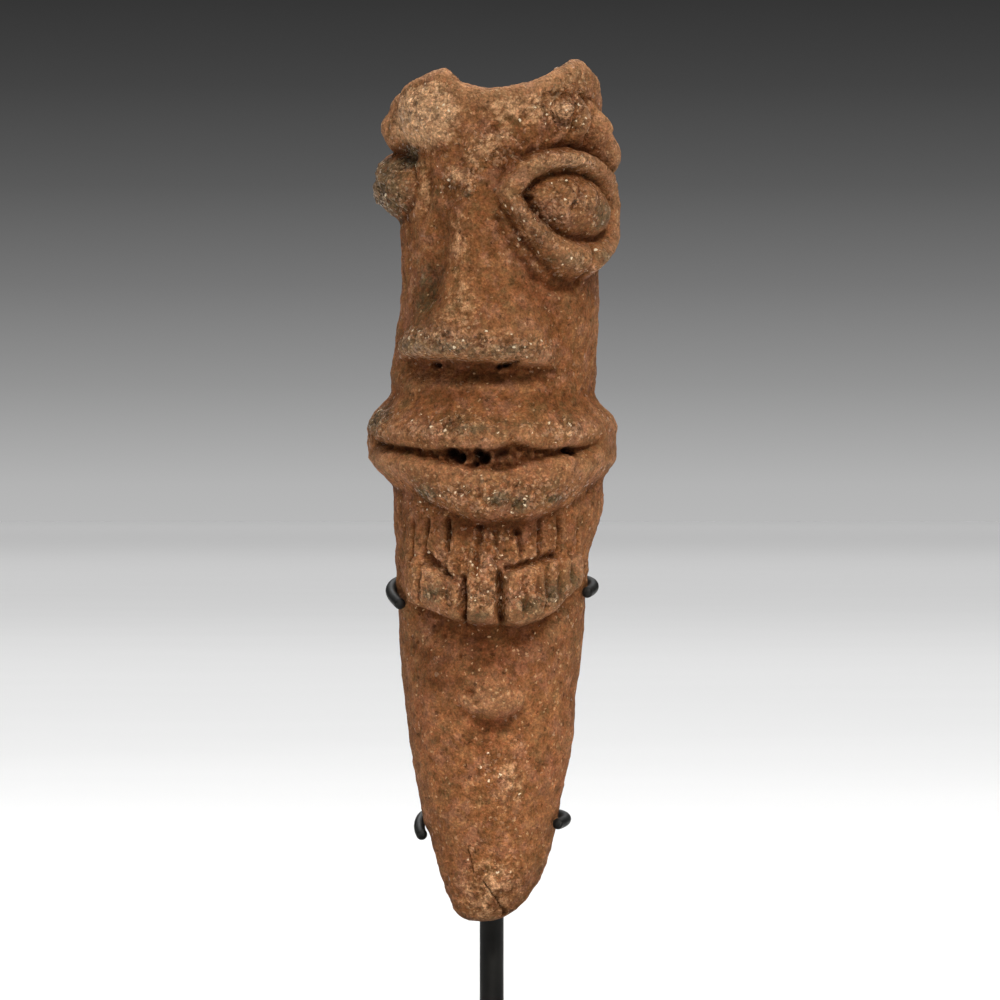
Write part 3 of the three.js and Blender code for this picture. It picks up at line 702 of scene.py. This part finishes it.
def block_height(block, angle, height):
    """One raised block of the beard."""
    first, second = block["sides"]
    t = np.clip((angle - first) / (second - first), 0, 1)
    top = lerp(*block["top"], t)
    edge = beard_edge(angle)
    up = np.clip((height - edge) / (top - edge), 0, 1)
    sides = smoothstep(arc(np.minimum(angle - first, second - angle)), 0, BLOCK_EDGE)
    toe = 1 - np.clip((height - edge) / BLOCK_ROUND, 0, 1)
    above = 1 - smoothstep(height, top - BLOCK_EDGE, top)
    return lerp(block["out"][1], block["out"][0], up) * sides * above * np.sqrt(1 - BLOCK_TOE * toe**2)


def beard_height(angle, height):
    """The beard's apron with its blocks, thickest at its lower edge."""
    edge = beard_edge(angle)
    up = np.clip((height - edge) / (BEARD_TOP - edge), 0, 1)
    fade = 1 - smoothstep(beard_reach(angle), *BEARD_FADE)
    apron = lerp(BEARD_OUT, BEARD_THIN_OUT, up) * fade
    blocks = sum(block_height(block, angle, height) for block in BEARD_BLOCKS)
    return (apron + blocks) * smoothstep(height, edge - BEARD_STEP, edge)


def under_beard_depth(angle, height):
    """The hollow under the beard's lower edge."""
    below = (beard_edge(angle) - height) / BEARD_UNDER - BEARD_UNDER_MIDDLE
    return BEARD_UNDER_DEPTH * swell(below) * (1 - smoothstep(beard_reach(angle), *BEARD_UNDER_FADE))


def figure_radius(angle, height):
    """Radius of the figure's surface."""
    raised = [nose_height(angle, height), lip_height(angle, height), beard_height(angle, height)]
    raised += [navel_height(angle, height), lump_height(angle, height)]
    raised += [eye_height(eye, angle, height) for eye in EYES]
    raised += [mound_height(mound, angle, height) for mound in MOUNDS]
    cuts = [lines(CUTS, angle, height), lines(CRACKS, angle, height), patches(PITS, angle, height)]
    cuts += [mouth_depth(angle, height), under_nose_depth(angle, height), under_beard_depth(angle, height)]
    carved = lines(RIDGES, angle, height) - np.max(cuts, axis=0) - patches(HOLES, angle, height)
    return column_radius(angle, height) + union(raised) + carved


def figure_points(angle, radius, height):
    turn = np.radians(angle)
    x = through(LEAN, height) + radius * np.sin(turn)
    return np.stack([x, -radius * np.cos(turn), FIGURE_LIFT + height], axis=-1)


def ring_angles():
    """Angles of the points in a ring, crowded towards the face."""
    turn = full_turn(RING_POINTS) - np.pi
    crowded = turn - FRONT_CROWDING * np.sin(turn) + SIDE_CROWDING * np.sin(2 * turn)
    angle = FACE_TURN + np.degrees(crowded)
    return np.where(angle < -180, angle + 360, angle)


def row_heights(angles):
    """Heights of the wall's rows, which bend along the beard, the mouth, the nose's ledge and the rim."""
    starts = [0] + [top for top, _ in WALL_ROWS]
    levels = [np.linspace(low, top, rows + 1)[1:] for low, (top, rows) in zip(starts, WALL_ROWS)]
    levels = np.concatenate(levels)
    level = np.zeros_like(angles)
    guides = [
        (0, level),
        (BODY_LEVEL, level),
        (BEARD_LEVEL, beard_edge(angles) - BEARD_LEVEL),
        (BEARD_TOP, level),
        (MOUTH_HEIGHT, slit_height(angles) - MOUTH_HEIGHT),
        (NOSE_LEDGE, ledge_height(angles) - NOSE_LEDGE),
        (CHEEK_LEVEL, level),
        (BROW_LEVEL, level),
        (RIM_BASE - RIM_ROUND, through(RIM, angles) - RIM_BASE),
    ]
    places = [place for place, _ in guides]
    shifts = np.array([shift for _, shift in guides])
    return np.stack([levels + np.interp(levels, places, shift) for shift in shifts.T], axis=1)


def noise_vectors(points, size):
    """Smooth noise of three values about 0 at each point, with features of about this size."""
    flat = points.reshape(-1, 3) / size
    return np.array([noise.noise_vector(Vector(point)) for point in flat]).reshape(points.shape)


def noise_values(points, size):
    return noise_vectors(points, size)[..., 0]


def wandered(angle, height):
    """Angles and heights moved a little, so that the carving runs as unevenly as hand work."""
    column = figure_points(angle, np.full_like(angle, GIRTH_RADIUS), height)
    for size, amplitude in WANDER:
        moved = noise_vectors(column, size) * amplitude
        angle = angle + np.degrees(moved[..., 0] / GIRTH_RADIUS)
        height = height + moved[..., 1]
    return angle, height


def rough_radius(angle, height):
    """Radius of the hand-worked surface, crumbly inside the mouth."""
    moved_angle, moved_height = wandered(angle, height)
    radius = figure_radius(moved_angle, np.where(height > TIP_STILL, np.maximum(0, moved_height), height))
    points = figure_points(angle, radius, height)
    for size, amplitude in UNEVEN:
        radius = radius + amplitude * noise_values(points, size) * smoothstep(height, 0, TIP_SMOOTH)
    crusted = patches(ENCRUSTED, angle, height)
    for size, amplitude in CRUST:
        radius = radius + amplitude * crusted * noise_values(points, size)
    inside = smoothstep(mouth_inside(moved_angle, moved_height), 0, CRUMBLE_EDGE)
    return radius + CRUMBLE * inside * noise_values(points, CRUMBLE_SIZE)


def figure_rings(angles, heights):
    """Rings of points from the tip up the wall, over the round rim and across the slightly sunken top."""
    around = np.broadcast_to(angles, heights.shape)
    rings = list(figure_points(around, rough_radius(around, heights), heights))
    rim = through(RIM, angles)
    wall_radius = np.hypot(rings[-1][:, 0] - through(LEAN, heights[-1]), rings[-1][:, 1])
    for i in range(1, RIM_ROWS + 1):
        turn = math.pi / 2 * i / RIM_ROWS
        radius = wall_radius - RIM_ROUND * (1 - math.cos(turn))
        rings.append(figure_points(angles, radius, rim - RIM_ROUND + RIM_ROUND * math.sin(turn)))
    for reach, drop in TOP_RINGS:
        radius = column_radius(angles, RIM_BASE) * reach
        rings.append(figure_points(angles, radius, lerp(rim, TOP_LEVEL, drop)))
    rings = np.array(rings)
    top = len(heights)
    for size, amplitude in UNEVEN:
        rings[top:, :, 2] += amplitude * noise_values(rings[top:], size)
    return rings


def blurred(grid, times):
    """A grid of points averaged with its neighbours, round the ring and between rows."""
    for _ in range(times):
        sides = np.roll(grid, 1, axis=1) + np.roll(grid, -1, axis=1)
        rows = np.concatenate([grid[:1], grid[:-1]]) + np.concatenate([grid[1:], grid[-1:]])
        grid = (sides + rows) / 4
    return grid


def standing_out(rings, times):
    """How far each point stands out from the surface round it, negative in a hollow."""
    across = np.roll(rings, -1, axis=1) - np.roll(rings, 1, axis=1)
    up = np.gradient(rings, axis=0)
    return np.sum((rings - blurred(rings, times)) * unit(np.cross(across, up)), axis=2)


def skin_mesh(name, rings, start=None, end=None, closed=False):
    """Mesh through rings of equal numbers of points, closed by an end point at each end or into a loop."""
    count = len(rings[0])
    points = np.concatenate(list(rings))
    faces = []
    for i in range(len(rings) if closed else len(rings) - 1):
        low = i * count
        high = (i + 1) % len(rings) * count
        faces += [(low + j, low + (j + 1) % count, high + (j + 1) % count, high + j) for j in range(count)]
    for point, first, step in ((start, 0, -1), (end, (len(rings) - 1) * count, 1)):
        if point is None:
            continue
        points = np.concatenate([points, [point]])
        for j in range(count):
            edge = (first + j, first + (j + 1) % count)
            faces.append((*edge[::step], len(points) - 1))
    mesh = bpy.data.meshes.new(name)
    mesh.from_pydata([tuple(point) for point in points * MM], [], faces)
    mesh.polygons.foreach_set("use_smooth", [True] * len(faces))
    mesh.update()
    return mesh


def share(near, wide, wide_full):
    """How strongly a place stands out, half by its near and half by its wide surroundings."""
    return (np.clip(near / NEAR_FULL, 0, 1) + np.clip(wide / wide_full, 0, 1)) / 2


def add_values(mesh, name, values):
    """Stores one value for each point, for the material."""
    padded = np.zeros(len(mesh.vertices), np.float32)
    padded[: values.size] = values.ravel()
    mesh.attributes.new(name, "FLOAT", "POINT").data.foreach_set("value", padded)


def figure_mesh():
    """The clay figure's skin, with the values that its material reads."""
    angles = ring_angles()
    heights = row_heights(angles)
    rings = figure_rings(angles, heights)
    mesh = skin_mesh("terracotta_figure", rings, figure_points(0, 0, 0), figure_points(0, 0, TOP_LEVEL))
    around = np.broadcast_to(angles, heights.shape)
    for name, spots in (("soot", SOOT), ("pale", PALE_WEAR_AND_LIGHT), ("ruddy", RUDDY), ("crust", ENCRUSTED)):
        add_values(mesh, name, patches(spots, around, heights))
    near = standing_out(rings, NEAR_BLUR)
    wide = standing_out(rings, WIDE_BLUR)
    add_values(mesh, "worn", share(near, wide, WIDE_WORN))
    # Painted shade: darker in hollows and creases, and in the patches of painted shade.
    hollow = share(-near, -wide, WIDE_HOLLOW)
    hollow[: len(heights)] += patches(PAINTED_SHADE_PATCHES, around, heights)
    add_values(mesh, "hollow", np.clip(hollow, 0, 1))
    moved = wandered(around, heights)
    # Painted shade inside the mouth, full a little inside its edges.
    add_values(mesh, "mouth", smoothstep(mouth_inside(*moved), *MOUTH_SHADE_EDGE))
    # Painted shade in holes and cracks.
    deep_shade = np.maximum(patches(HOLES, *moved) * HOLE_SHADE, lines(CRACKS, *moved) * CRACK_SHADE)
    add_values(mesh, "deep_shade", np.clip(deep_shade, 0, 1))
    return mesh


def wire_at_rod():
    """How far behind the figure's middle line the wire meets the rod, set by the upper claw."""
    return float(column_radius(180, CLAWS[0]["back"])) + CONTACT_GAP + WIRE_RADIUS


def rod_behind():
    return wire_at_rod() + WIRE_RADIUS + CONTACT_GAP + ROD_RADIUS


def claw_arm(claw, end):
    """One arm of a claw, from its end at the front round the side towards the rod."""
    end_turn, end_height = end
    side = math.copysign(1, end_turn)
    turn = lerp(abs(end_turn), 180, np.arange(ARM_POINTS) / ARM_POINTS)
    height = lerp(end_height, claw["back"], smoothstep(turn, abs(end_turn) - ARM_EASE, ARM_LEVEL))
    clay = np.max([figure_radius(side * turn, height + dz) for dz in (-WIRE_RADIUS, 0, WIRE_RADIUS)], axis=0)
    hug = clay + CONTACT_GAP + WIRE_RADIUS
    towards_rod = lerp(hug, wire_at_rod(), smoothstep(turn, WIRE_LEAVES_CLAY, 180))
    return figure_points(side * turn, np.maximum(hug, towards_rod), height)


def claw_path(claw):
    """Even points along a claw's wire, from one end round the back to the other."""
    left, right = [claw_arm(claw, end) for end in claw["ends"]]
    corners = np.concatenate([left, [(0, wire_at_rod(), FIGURE_LIFT + claw["back"])], right[::-1]])
    along = lengths(corners)
    places = np.linspace(0, along[-1], WIRE_STEPS)
    return np.stack([through(list(zip(along, values)), places) for values in corners.T], axis=1)


def wire_mesh(claw):
    """A claw's round wire with eased ends and a bead of braze where it meets the rod."""
    path = claw_path(claw)
    run = unit(np.gradient(path, axis=0))
    aside = unit(np.cross((0, 0, 1), run))
    above = np.cross(run, aside)
    along = lengths(path)
    from_end = np.minimum(along, along[-1] - along)
    ease = 1 - np.clip(from_end / WIRE_EASE, 0, 1)
    from_rod = np.hypot(path[:, 0], path[:, 1] - wire_at_rod())
    radius = WIRE_RADIUS - WIRE_EASE * (1 - np.sqrt(1 - ease**2)) + BRAZE_OUT * swell(from_rod / BRAZE_REACH)
    turn = full_turn(WIRE_SIDES)
    section = aside[:, None] * np.cos(turn)[:, None] + above[:, None] * np.sin(turn)[:, None]
    return skin_mesh(claw["name"], path[:, None] + section * radius[:, None, None], path[0], path[-1])


def ring(middle, radius, height, turn):
    x, y = middle
    return np.stack([x + radius * np.cos(turn), y + radius * np.sin(turn), height + 0 * turn], axis=1)


def eased_edges(ease, thickness):
    """Steps (inset, height) from a bar's or plate's lower face, round its eased edges, to the upper one."""
    lift = np.linspace(0, math.pi / 2, EASE_STEPS + 1)
    low = [(ease * (1 - math.sin(turn)), ease * (1 - math.cos(turn))) for turn in lift]
    low = [(ease + SUPPORT, 0), *low, (0, ease + SUPPORT)]
    return low + [(inset, thickness - height) for inset, height in low[::-1]]


def rod_mesh():
    """The rod, a round bar with eased ends that stands in the plate's hole."""
    middle = (0, rod_behind())
    top = FIGURE_LIFT + CLAWS[0]["back"] + ROD_ABOVE_CLAW
    turn = full_turn(ROD_SIDES)
    steps = eased_edges(ROD_EASE, top - ROD_ABOVE_FLOOR)
    rings = [ring(middle, ROD_RADIUS - inset, ROD_ABOVE_FLOOR + height, turn) for inset, height in steps]
    return skin_mesh("stand_rod", rings, (*middle, ROD_ABOVE_FLOOR), (*middle, top))


def plate_outline(half, corner):
    """Points round a square with rounded corners, starting on the +X side."""
    turn = np.linspace(0, math.pi / 2, PLATE_CORNER_STEPS + 1)
    bend = half - corner + corner * np.stack([np.cos(turn), np.sin(turn)], axis=1)
    side = np.linspace(bend[-1], (corner - half, half), PLATE_SIDE_STEPS + 1)
    quarters = [np.concatenate([bend, side[1:-1]])]
    for _ in range(3):
        x, y = quarters[-1].T
        quarters.append(np.stack([-y, x], axis=1))
    return np.concatenate(quarters)


def plate_ring(inset, height):
    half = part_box("stand_base")[1].x / MM
    points = plate_outline(half - inset, PLATE_CORNER - inset)
    return np.column_stack([points, np.full(len(points), height)])


def plate_mesh():
    """The base plate with eased edges and a hole for the rod."""
    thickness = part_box("stand_base")[1].z / MM
    rings = [plate_ring(inset, height) for inset, height in eased_edges(PLATE_EASE, thickness)]
    middle = np.array([0, rod_behind()])
    outward = rings[0][:, :2] - middle
    turn = np.arctan2(outward[:, 1], outward[:, 0])
    hole = ROD_RADIUS + CONTACT_GAP
    rings.insert(0, ring(middle, hole + SUPPORT, 0, turn))
    rings.insert(0, ring(middle, hole, 0, turn))
    rings.append(ring(middle, hole + SUPPORT, thickness, turn))
    rings.append(ring(middle, hole, thickness, turn))
    return skin_mesh("stand_base", rings, closed=True)


class Shader:
    """A material's nodes, with short calls for the ones that it needs."""

    def __init__(self, name):
        self.material = bpy.data.materials.new(name)
        self.material.use_nodes = True
        self.tree = self.material.node_tree
        self.surface = self.tree.nodes["Principled BSDF"]
        self.place = self.node("TexCoord").outputs["Object"]

    def feed(self, socket, value):
        if isinstance(value, bpy.types.NodeSocket):
            self.tree.links.new(value, socket)
        else:
            socket.default_value = value

    def set(self, name, value):
        self.feed(self.surface.inputs[name], value)

    def node(self, kind, inputs=None, **settings):
        """A node with these settings, and values or links for its inputs by their names or numbers."""
        made = self.tree.nodes.new("ShaderNode" + kind)
        for setting, value in settings.items():
            setattr(made, setting, value)
        for name, value in (inputs or {}).items():
            self.feed(made.inputs[name], value)
        return made

    def texture(self, kind, size, place, **inputs):
        """A texture with features of about this size in millimetres."""
        return self.node(kind, {"Vector": place, "Scale": 1 / (size * MM), **inputs})

    def noise(self, size, detail=2.0, roughness=0.5):
        """Noise from 0 to 1."""
        return self.texture("TexNoise", size, self.place, Detail=detail, Roughness=roughness).outputs["Fac"]

    def vector(self, operation, *values):
        return self.node("VectorMath", dict(enumerate(values)), operation=operation).outputs["Vector"]

    def scattered(self, size, reach):
        """Places on the object moved about by up to this reach, for shapes with ragged outlines."""
        shift = self.texture("TexNoise", size, self.place).outputs["Color"]
        return self.vector("MULTIPLY_ADD", shift, (2 * reach * MM,) * 3, self.place)

    def grains(self, size, place):
        """Grains packed like sand: how far a place is from its grain's middle, and three chances."""
        cells = self.texture("TexVoronoi", size, place)
        chance = self.node("SeparateColor", {"Color": cells.outputs["Color"]})
        return cells.outputs["Distance"], *chance.outputs

    def facets(self, size, place, tilt):
        """Normals of small crystal faces that are each turned their own way."""
        cells = self.texture("TexVoronoi", size, place)
        centred = self.vector("SUBTRACT", cells.outputs["Color"], (0.5, 0.5, 0.5))
        normal = self.node("NewGeometry").outputs["Normal"]
        return self.vector("NORMALIZE", self.vector("MULTIPLY_ADD", centred, tilt, normal))

    def math(self, operation, a, b):
        return self.node("Math", {0: a, 1: b}, operation=operation).outputs["Value"]

    def times(self, a, b):
        return self.math("MULTIPLY", a, b)

    def step(self, value, low, high):
        """0 below low, 1 above high, smooth between them."""
        ends = {"Value": value, "From Min": low, "From Max": high}
        return self.node("MapRange", ends, interpolation_type="SMOOTHSTEP").outputs["Result"]

    def span(self, value, low, high):
        """A value from 0 to 1 spread from low to high."""
        return self.node("MapRange", {"Value": value, "To Min": low, "To Max": high}).outputs["Result"]

    def mix(self, factor, a, b, blend="MIX"):
        values = [(*value, 1) if isinstance(value, tuple) else value for value in (factor, a, b)]
        made = self.node("Mix", dict(zip((0, 6, 7), values)), data_type="RGBA", blend_type=blend)
        return made.outputs[2]

    def tinted(self, color, factor, strength, tint):
        return self.mix(self.times(factor, strength), color, tint)

    def scaled(self, color, factor):
        return self.mix(1.0, color, factor, "MULTIPLY")

    def darkened(self, color, factor, tint):
        return self.mix(factor, color, self.scaled(color, tint))

    def attribute(self, name):
        return self.node("Attribute", attribute_name=name).outputs["Fac"]

    def bump(self, height, distance, strength, **normal):
        """Relief of this depth in millimetres, on the given Normal or else on the mesh's own."""
        inputs = {"Height": height, "Distance": distance * MM, "Strength": strength, **normal}
        self.set("Normal", self.node("Bump", inputs).outputs["Normal"])


def clay_body(clay):
    """The fired clay's own colours: dark and light stains, with casts of pink and olive."""
    stain = clay.noise(STAIN_SIZE, 6, 0.65)
    cast = clay.noise(CAST_SIZE, 5, 0.7)
    color = clay.mix(clay.step(stain, 0.36, 0.5), CLAY_DARK, CLAY)
    color = clay.mix(clay.step(stain, 0.5, 0.68), color, CLAY_LIGHT)
    color = clay.tinted(color, clay.step(cast, 0.5, 0.62), 0.65, CLAY_PINK)
    return clay.tinted(color, clay.step(cast, 0.46, 0.34), 0.6, CLAY_OLIVE)


def clay_patches(clay, color):
    """Red, pale and sooty patches with ragged edges. The pale one on the tip is partly painted light, and
    those on the beard's blocks are painted highlights.
    """
    edge = clay.span(clay.noise(MOTTLE_SIZE, 6, 0.75), -1.1, 1.1)
    for name, tint, strength in PATCH_TINTS:
        amount = clay.times(clay.attribute(name), 0.85)
        patch = clay.step(clay.math("ADD", amount, edge), 0.2, 0.8)
        color = clay.tinted(color, patch, strength, tint)
    return color


def clay_pores(clay, ragged):
    """1 in the dark pores, which are of many sizes, and 0 beside them."""
    away, size, _, pick = clay.grains(PORE_SIZE, ragged)
    pore = clay.math("LESS_THAN", away, clay.span(size, 0.12, 0.42))
    return clay.times(pore, clay.math("LESS_THAN", pick, 0.15))


def terracotta():
    """Sandy fired clay with pale grains and dark pores, worn pale on its high places and sooty in patches.
    Painted shade darkens its hollows, sheltered places, mouth, holes, cracks and the edges of crusted grains,
    and painted highlights lie on its crust and in some pale patches.
    """
    clay = Shader("terracotta")
    ragged = clay.scattered(RAGGED_SIZE, RAGGED_REACH)
    mottle = clay.noise(MOTTLE_SIZE, 4, 0.65)
    grit = clay.noise(GRIT_SIZE, 2, 0.55)
    away, tone, hue, pick = clay.grains(GRAIN_SIZE, ragged)
    pore = clay_pores(clay, ragged)
    worn = clay.attribute("worn")
    clumps = clay.span(clay.step(clay.noise(CLUMP_SIZE, 3, 0.6), 0.42, 0.6), 0.35, 1.15)
    crust = clay.times(clay.attribute("crust"), clumps)
    rubbed = clay.math("ADD", worn, crust)

    color = clay_patches(clay, clay_body(clay))
    color = clay.tinted(color, worn, 0.25, CLAY_PALE)
    color = clay.tinted(color, clay.step(hue, 0.74, 0.8), 0.35, CLAY_RED)
    color = clay.tinted(color, clay.step(hue, 0.26, 0.2), 0.25, CLAY_OLIVE)
    color = clay.scaled(color, clay.span(clay.step(mottle, 0.3, 0.7), 0.72, 1.28))
    color = clay.scaled(color, clay.span(clay.step(grit, 0.3, 0.7), 0.74, 1.26))
    # Crusted grains keep their own tone and darken towards their edges as painted shade in the crevices
    # between them.
    tone_and_crevice_shade = clay.times(clay.span(tone, 0.55, 1.52), clay.span(clay.step(away, 0.25, 0.7), 1.12, 0.66))
    color = clay.darkened(color, clay.span(crust, 0.3, 0.95), tone_and_crevice_shade)
    # Painted shade in hollows and creases and in the patches of painted shade.
    color = clay.darkened(color, clay.attribute("hollow"), HOLLOW_SHADE_DARK)
    color = clay.darkened(color, clay.times(pore, 0.6), PORE_DARK)
    cream = clay.math("LESS_THAN", pick, clay.math("ADD", 0.03, clay.times(rubbed, 0.12)))
    color = clay.tinted(color, clay.times(cream, clay.step(away, 0.5, 0.25)), 0.5, GRAIN_CREAM)
    # Painted highlights: white grains on the crust stand in for glints.
    painted_glint = clay.math("LESS_THAN", pick, clay.times(crust, 0.05))
    color = clay.tinted(color, painted_glint, clay.step(away, 0.5, 0.3), PAINTED_GLINT_WHITE)
    # Painted shade inside the mouth.
    color = clay.darkened(color, clay.attribute("mouth"), MOUTH_SHADE_DARK)
    # Painted shade in holes and cracks.
    color = clay.darkened(color, clay.attribute("deep_shade"), DEEP_SHADE_DARK)
    clay.set("Base Color", color)

    glint = clay.math("GREATER_THAN", tone, clay.math("SUBTRACT", 0.995, clay.times(crust, 0.4)))
    sheen = clay.times(rubbed, 0.5)
    clay.set("Roughness", clay.span(glint, clay.span(sheen, 0.8, 0.66), 0.3))
    clay.set("Specular IOR Level", clay.span(glint, clay.span(sheen, 0.1, 0.24), 1.0))
    clay.set("Specular Tint", (*GLINT_WARM, 1))
    height = clay.math("ADD", clay.times(mottle, 2.4), clay.times(grit, 0.8))
    height = clay.math("SUBTRACT", height, clay.math("ADD", away, clay.times(pore, 0.8)))
    tilt = clay.math("ADD", 0.4, clay.times(crust, 0.6))
    clay.bump(height, 0.4, 1.0, Normal=clay.facets(FACET_SIZE, ragged, tilt))
    return clay.material


def black_paint():
    """Matte black paint on steel, a little uneven and dusty."""
    paint = Shader("black_steel")
    cloud = paint.noise(PAINT_CLOUD, 4, 0.6)
    grain = paint.noise(PAINT_GRAIN, 2, 0.6)
    color = paint.mix(paint.step(cloud, 0.35, 0.7), PAINT_BLACK, PAINT_DUSTY)
    paint.set("Base Color", color)
    paint.set("Roughness", paint.span(paint.noise(PAINT_SHEEN, 3, 0.6), 0.36, 0.62))
    paint.set("Specular IOR Level", 0.2)
    paint.bump(paint.math("ADD", grain, cloud), 0.06, 0.7)
    return paint.material


def placed(name, data):
    """A new object in the scene."""
    made = bpy.data.objects.new(name, data)
    bpy.context.scene.collection.objects.link(made)
    return made


def piece(name, mesh, material):
    """A visible piece that stands for the solid of the same name."""
    made = placed(name + "_skin", mesh)
    mesh.materials.append(material)
    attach(made, "root")
    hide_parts(name)


def floor():
    """A plain pale floor, far wider than the view."""
    mesh = bpy.data.meshes.new("floor")
    rim = [tuple(point) for point in ring((0, 0), FLOOR_RADIUS, 0, full_turn(FLOOR_SIDES))]
    mesh.from_pydata(rim, [], [range(FLOOR_SIDES)])
    pale = Shader("pale_floor")
    pale.set("Base Color", pale.mix(pale.noise(FLOOR_CLOUD, 3), FLOOR_SHADE, FLOOR_PALE))
    pale.set("Roughness", FLOOR_ROUGHNESS)
    mesh.materials.append(pale.material)
    made = placed("floor", mesh)


def studio_sky():
    """Soft grey surroundings, pale at the horizon, dark just above it and bright overhead."""
    world = bpy.data.worlds.new("studio")
    world.use_nodes = True
    nodes = world.node_tree.nodes
    links = world.node_tree.links
    split = nodes.new("ShaderNodeSeparateXYZ")
    links.new(nodes.new("ShaderNodeTexCoord").outputs["Generated"], split.inputs["Vector"])
    spread = nodes.new("ShaderNodeMapRange")
    links.new(split.outputs["Z"], spread.inputs["Value"])
    spread.inputs["From Min"].default_value = SKY[0][0]
    spread.inputs["From Max"].default_value = SKY[-1][0]
    ramp = nodes.new("ShaderNodeValToRGB")
    links.new(spread.outputs["Result"], ramp.inputs["Fac"])
    for i, (height, grey) in enumerate(SKY):
        place = (height - SKY[0][0]) / (SKY[-1][0] - SKY[0][0])
        stops = ramp.color_ramp.elements
        stop = stops[0] if i == 0 else stops[-1] if i == len(SKY) - 1 else stops.new(place)
        stop.position = place
        stop.color = (grey, grey, grey, 1)
    links.new(ramp.outputs["Color"], nodes["Background"].inputs["Color"])
    nodes["Background"].inputs["Strength"].default_value = SKY_STRENGTH
    bpy.context.scene.world = world


def softbox(name, place, aim, size, power, spread, tint):
    """A square soft light that the camera doesn't see, with the angle that it spreads over and its colour."""
    light = bpy.data.lights.new(name, "AREA")
    light.size = size
    light.spread = math.radians(spread)
    light.energy = power
    light.color = tint
    lamp = placed(name, light)
    lamp.location = place
    lamp.rotation_euler = (Vector(aim) - Vector(place)).to_track_quat("-Z", "Y").to_euler()
    lamp.visible_camera = False


def camera():
    """A long lens level with the figure's middle, square on to it."""
    data = bpy.data.cameras.new("camera")
    data.sensor_width = SENSOR
    data.lens = SENSOR * CAMERA_AWAY / CAMERA_VIEW
    data.clip_end = 2 * FLOOR_RADIUS
    made = placed("camera", data)
    made.location = (CAMERA_ASIDE * MM, -CAMERA_AWAY * MM, CAMERA_HEIGHT * MM)
    made.rotation_euler = (math.pi / 2, 0, 0)
    bpy.context.scene.camera = made


noise.seed_set(NOISE_SEED)
clay = terracotta()
paint = black_paint()
piece("terracotta_figure", figure_mesh(), clay)
for claw in CLAWS:
    piece(claw["name"], wire_mesh(claw), paint)
piece("stand_rod", rod_mesh(), paint)
piece("stand_base", plate_mesh(), paint)
floor()
studio_sky()
for light in LIGHTS:
    softbox(*light)
camera()
bpy.context.scene.view_settings.view_transform = "Standard"
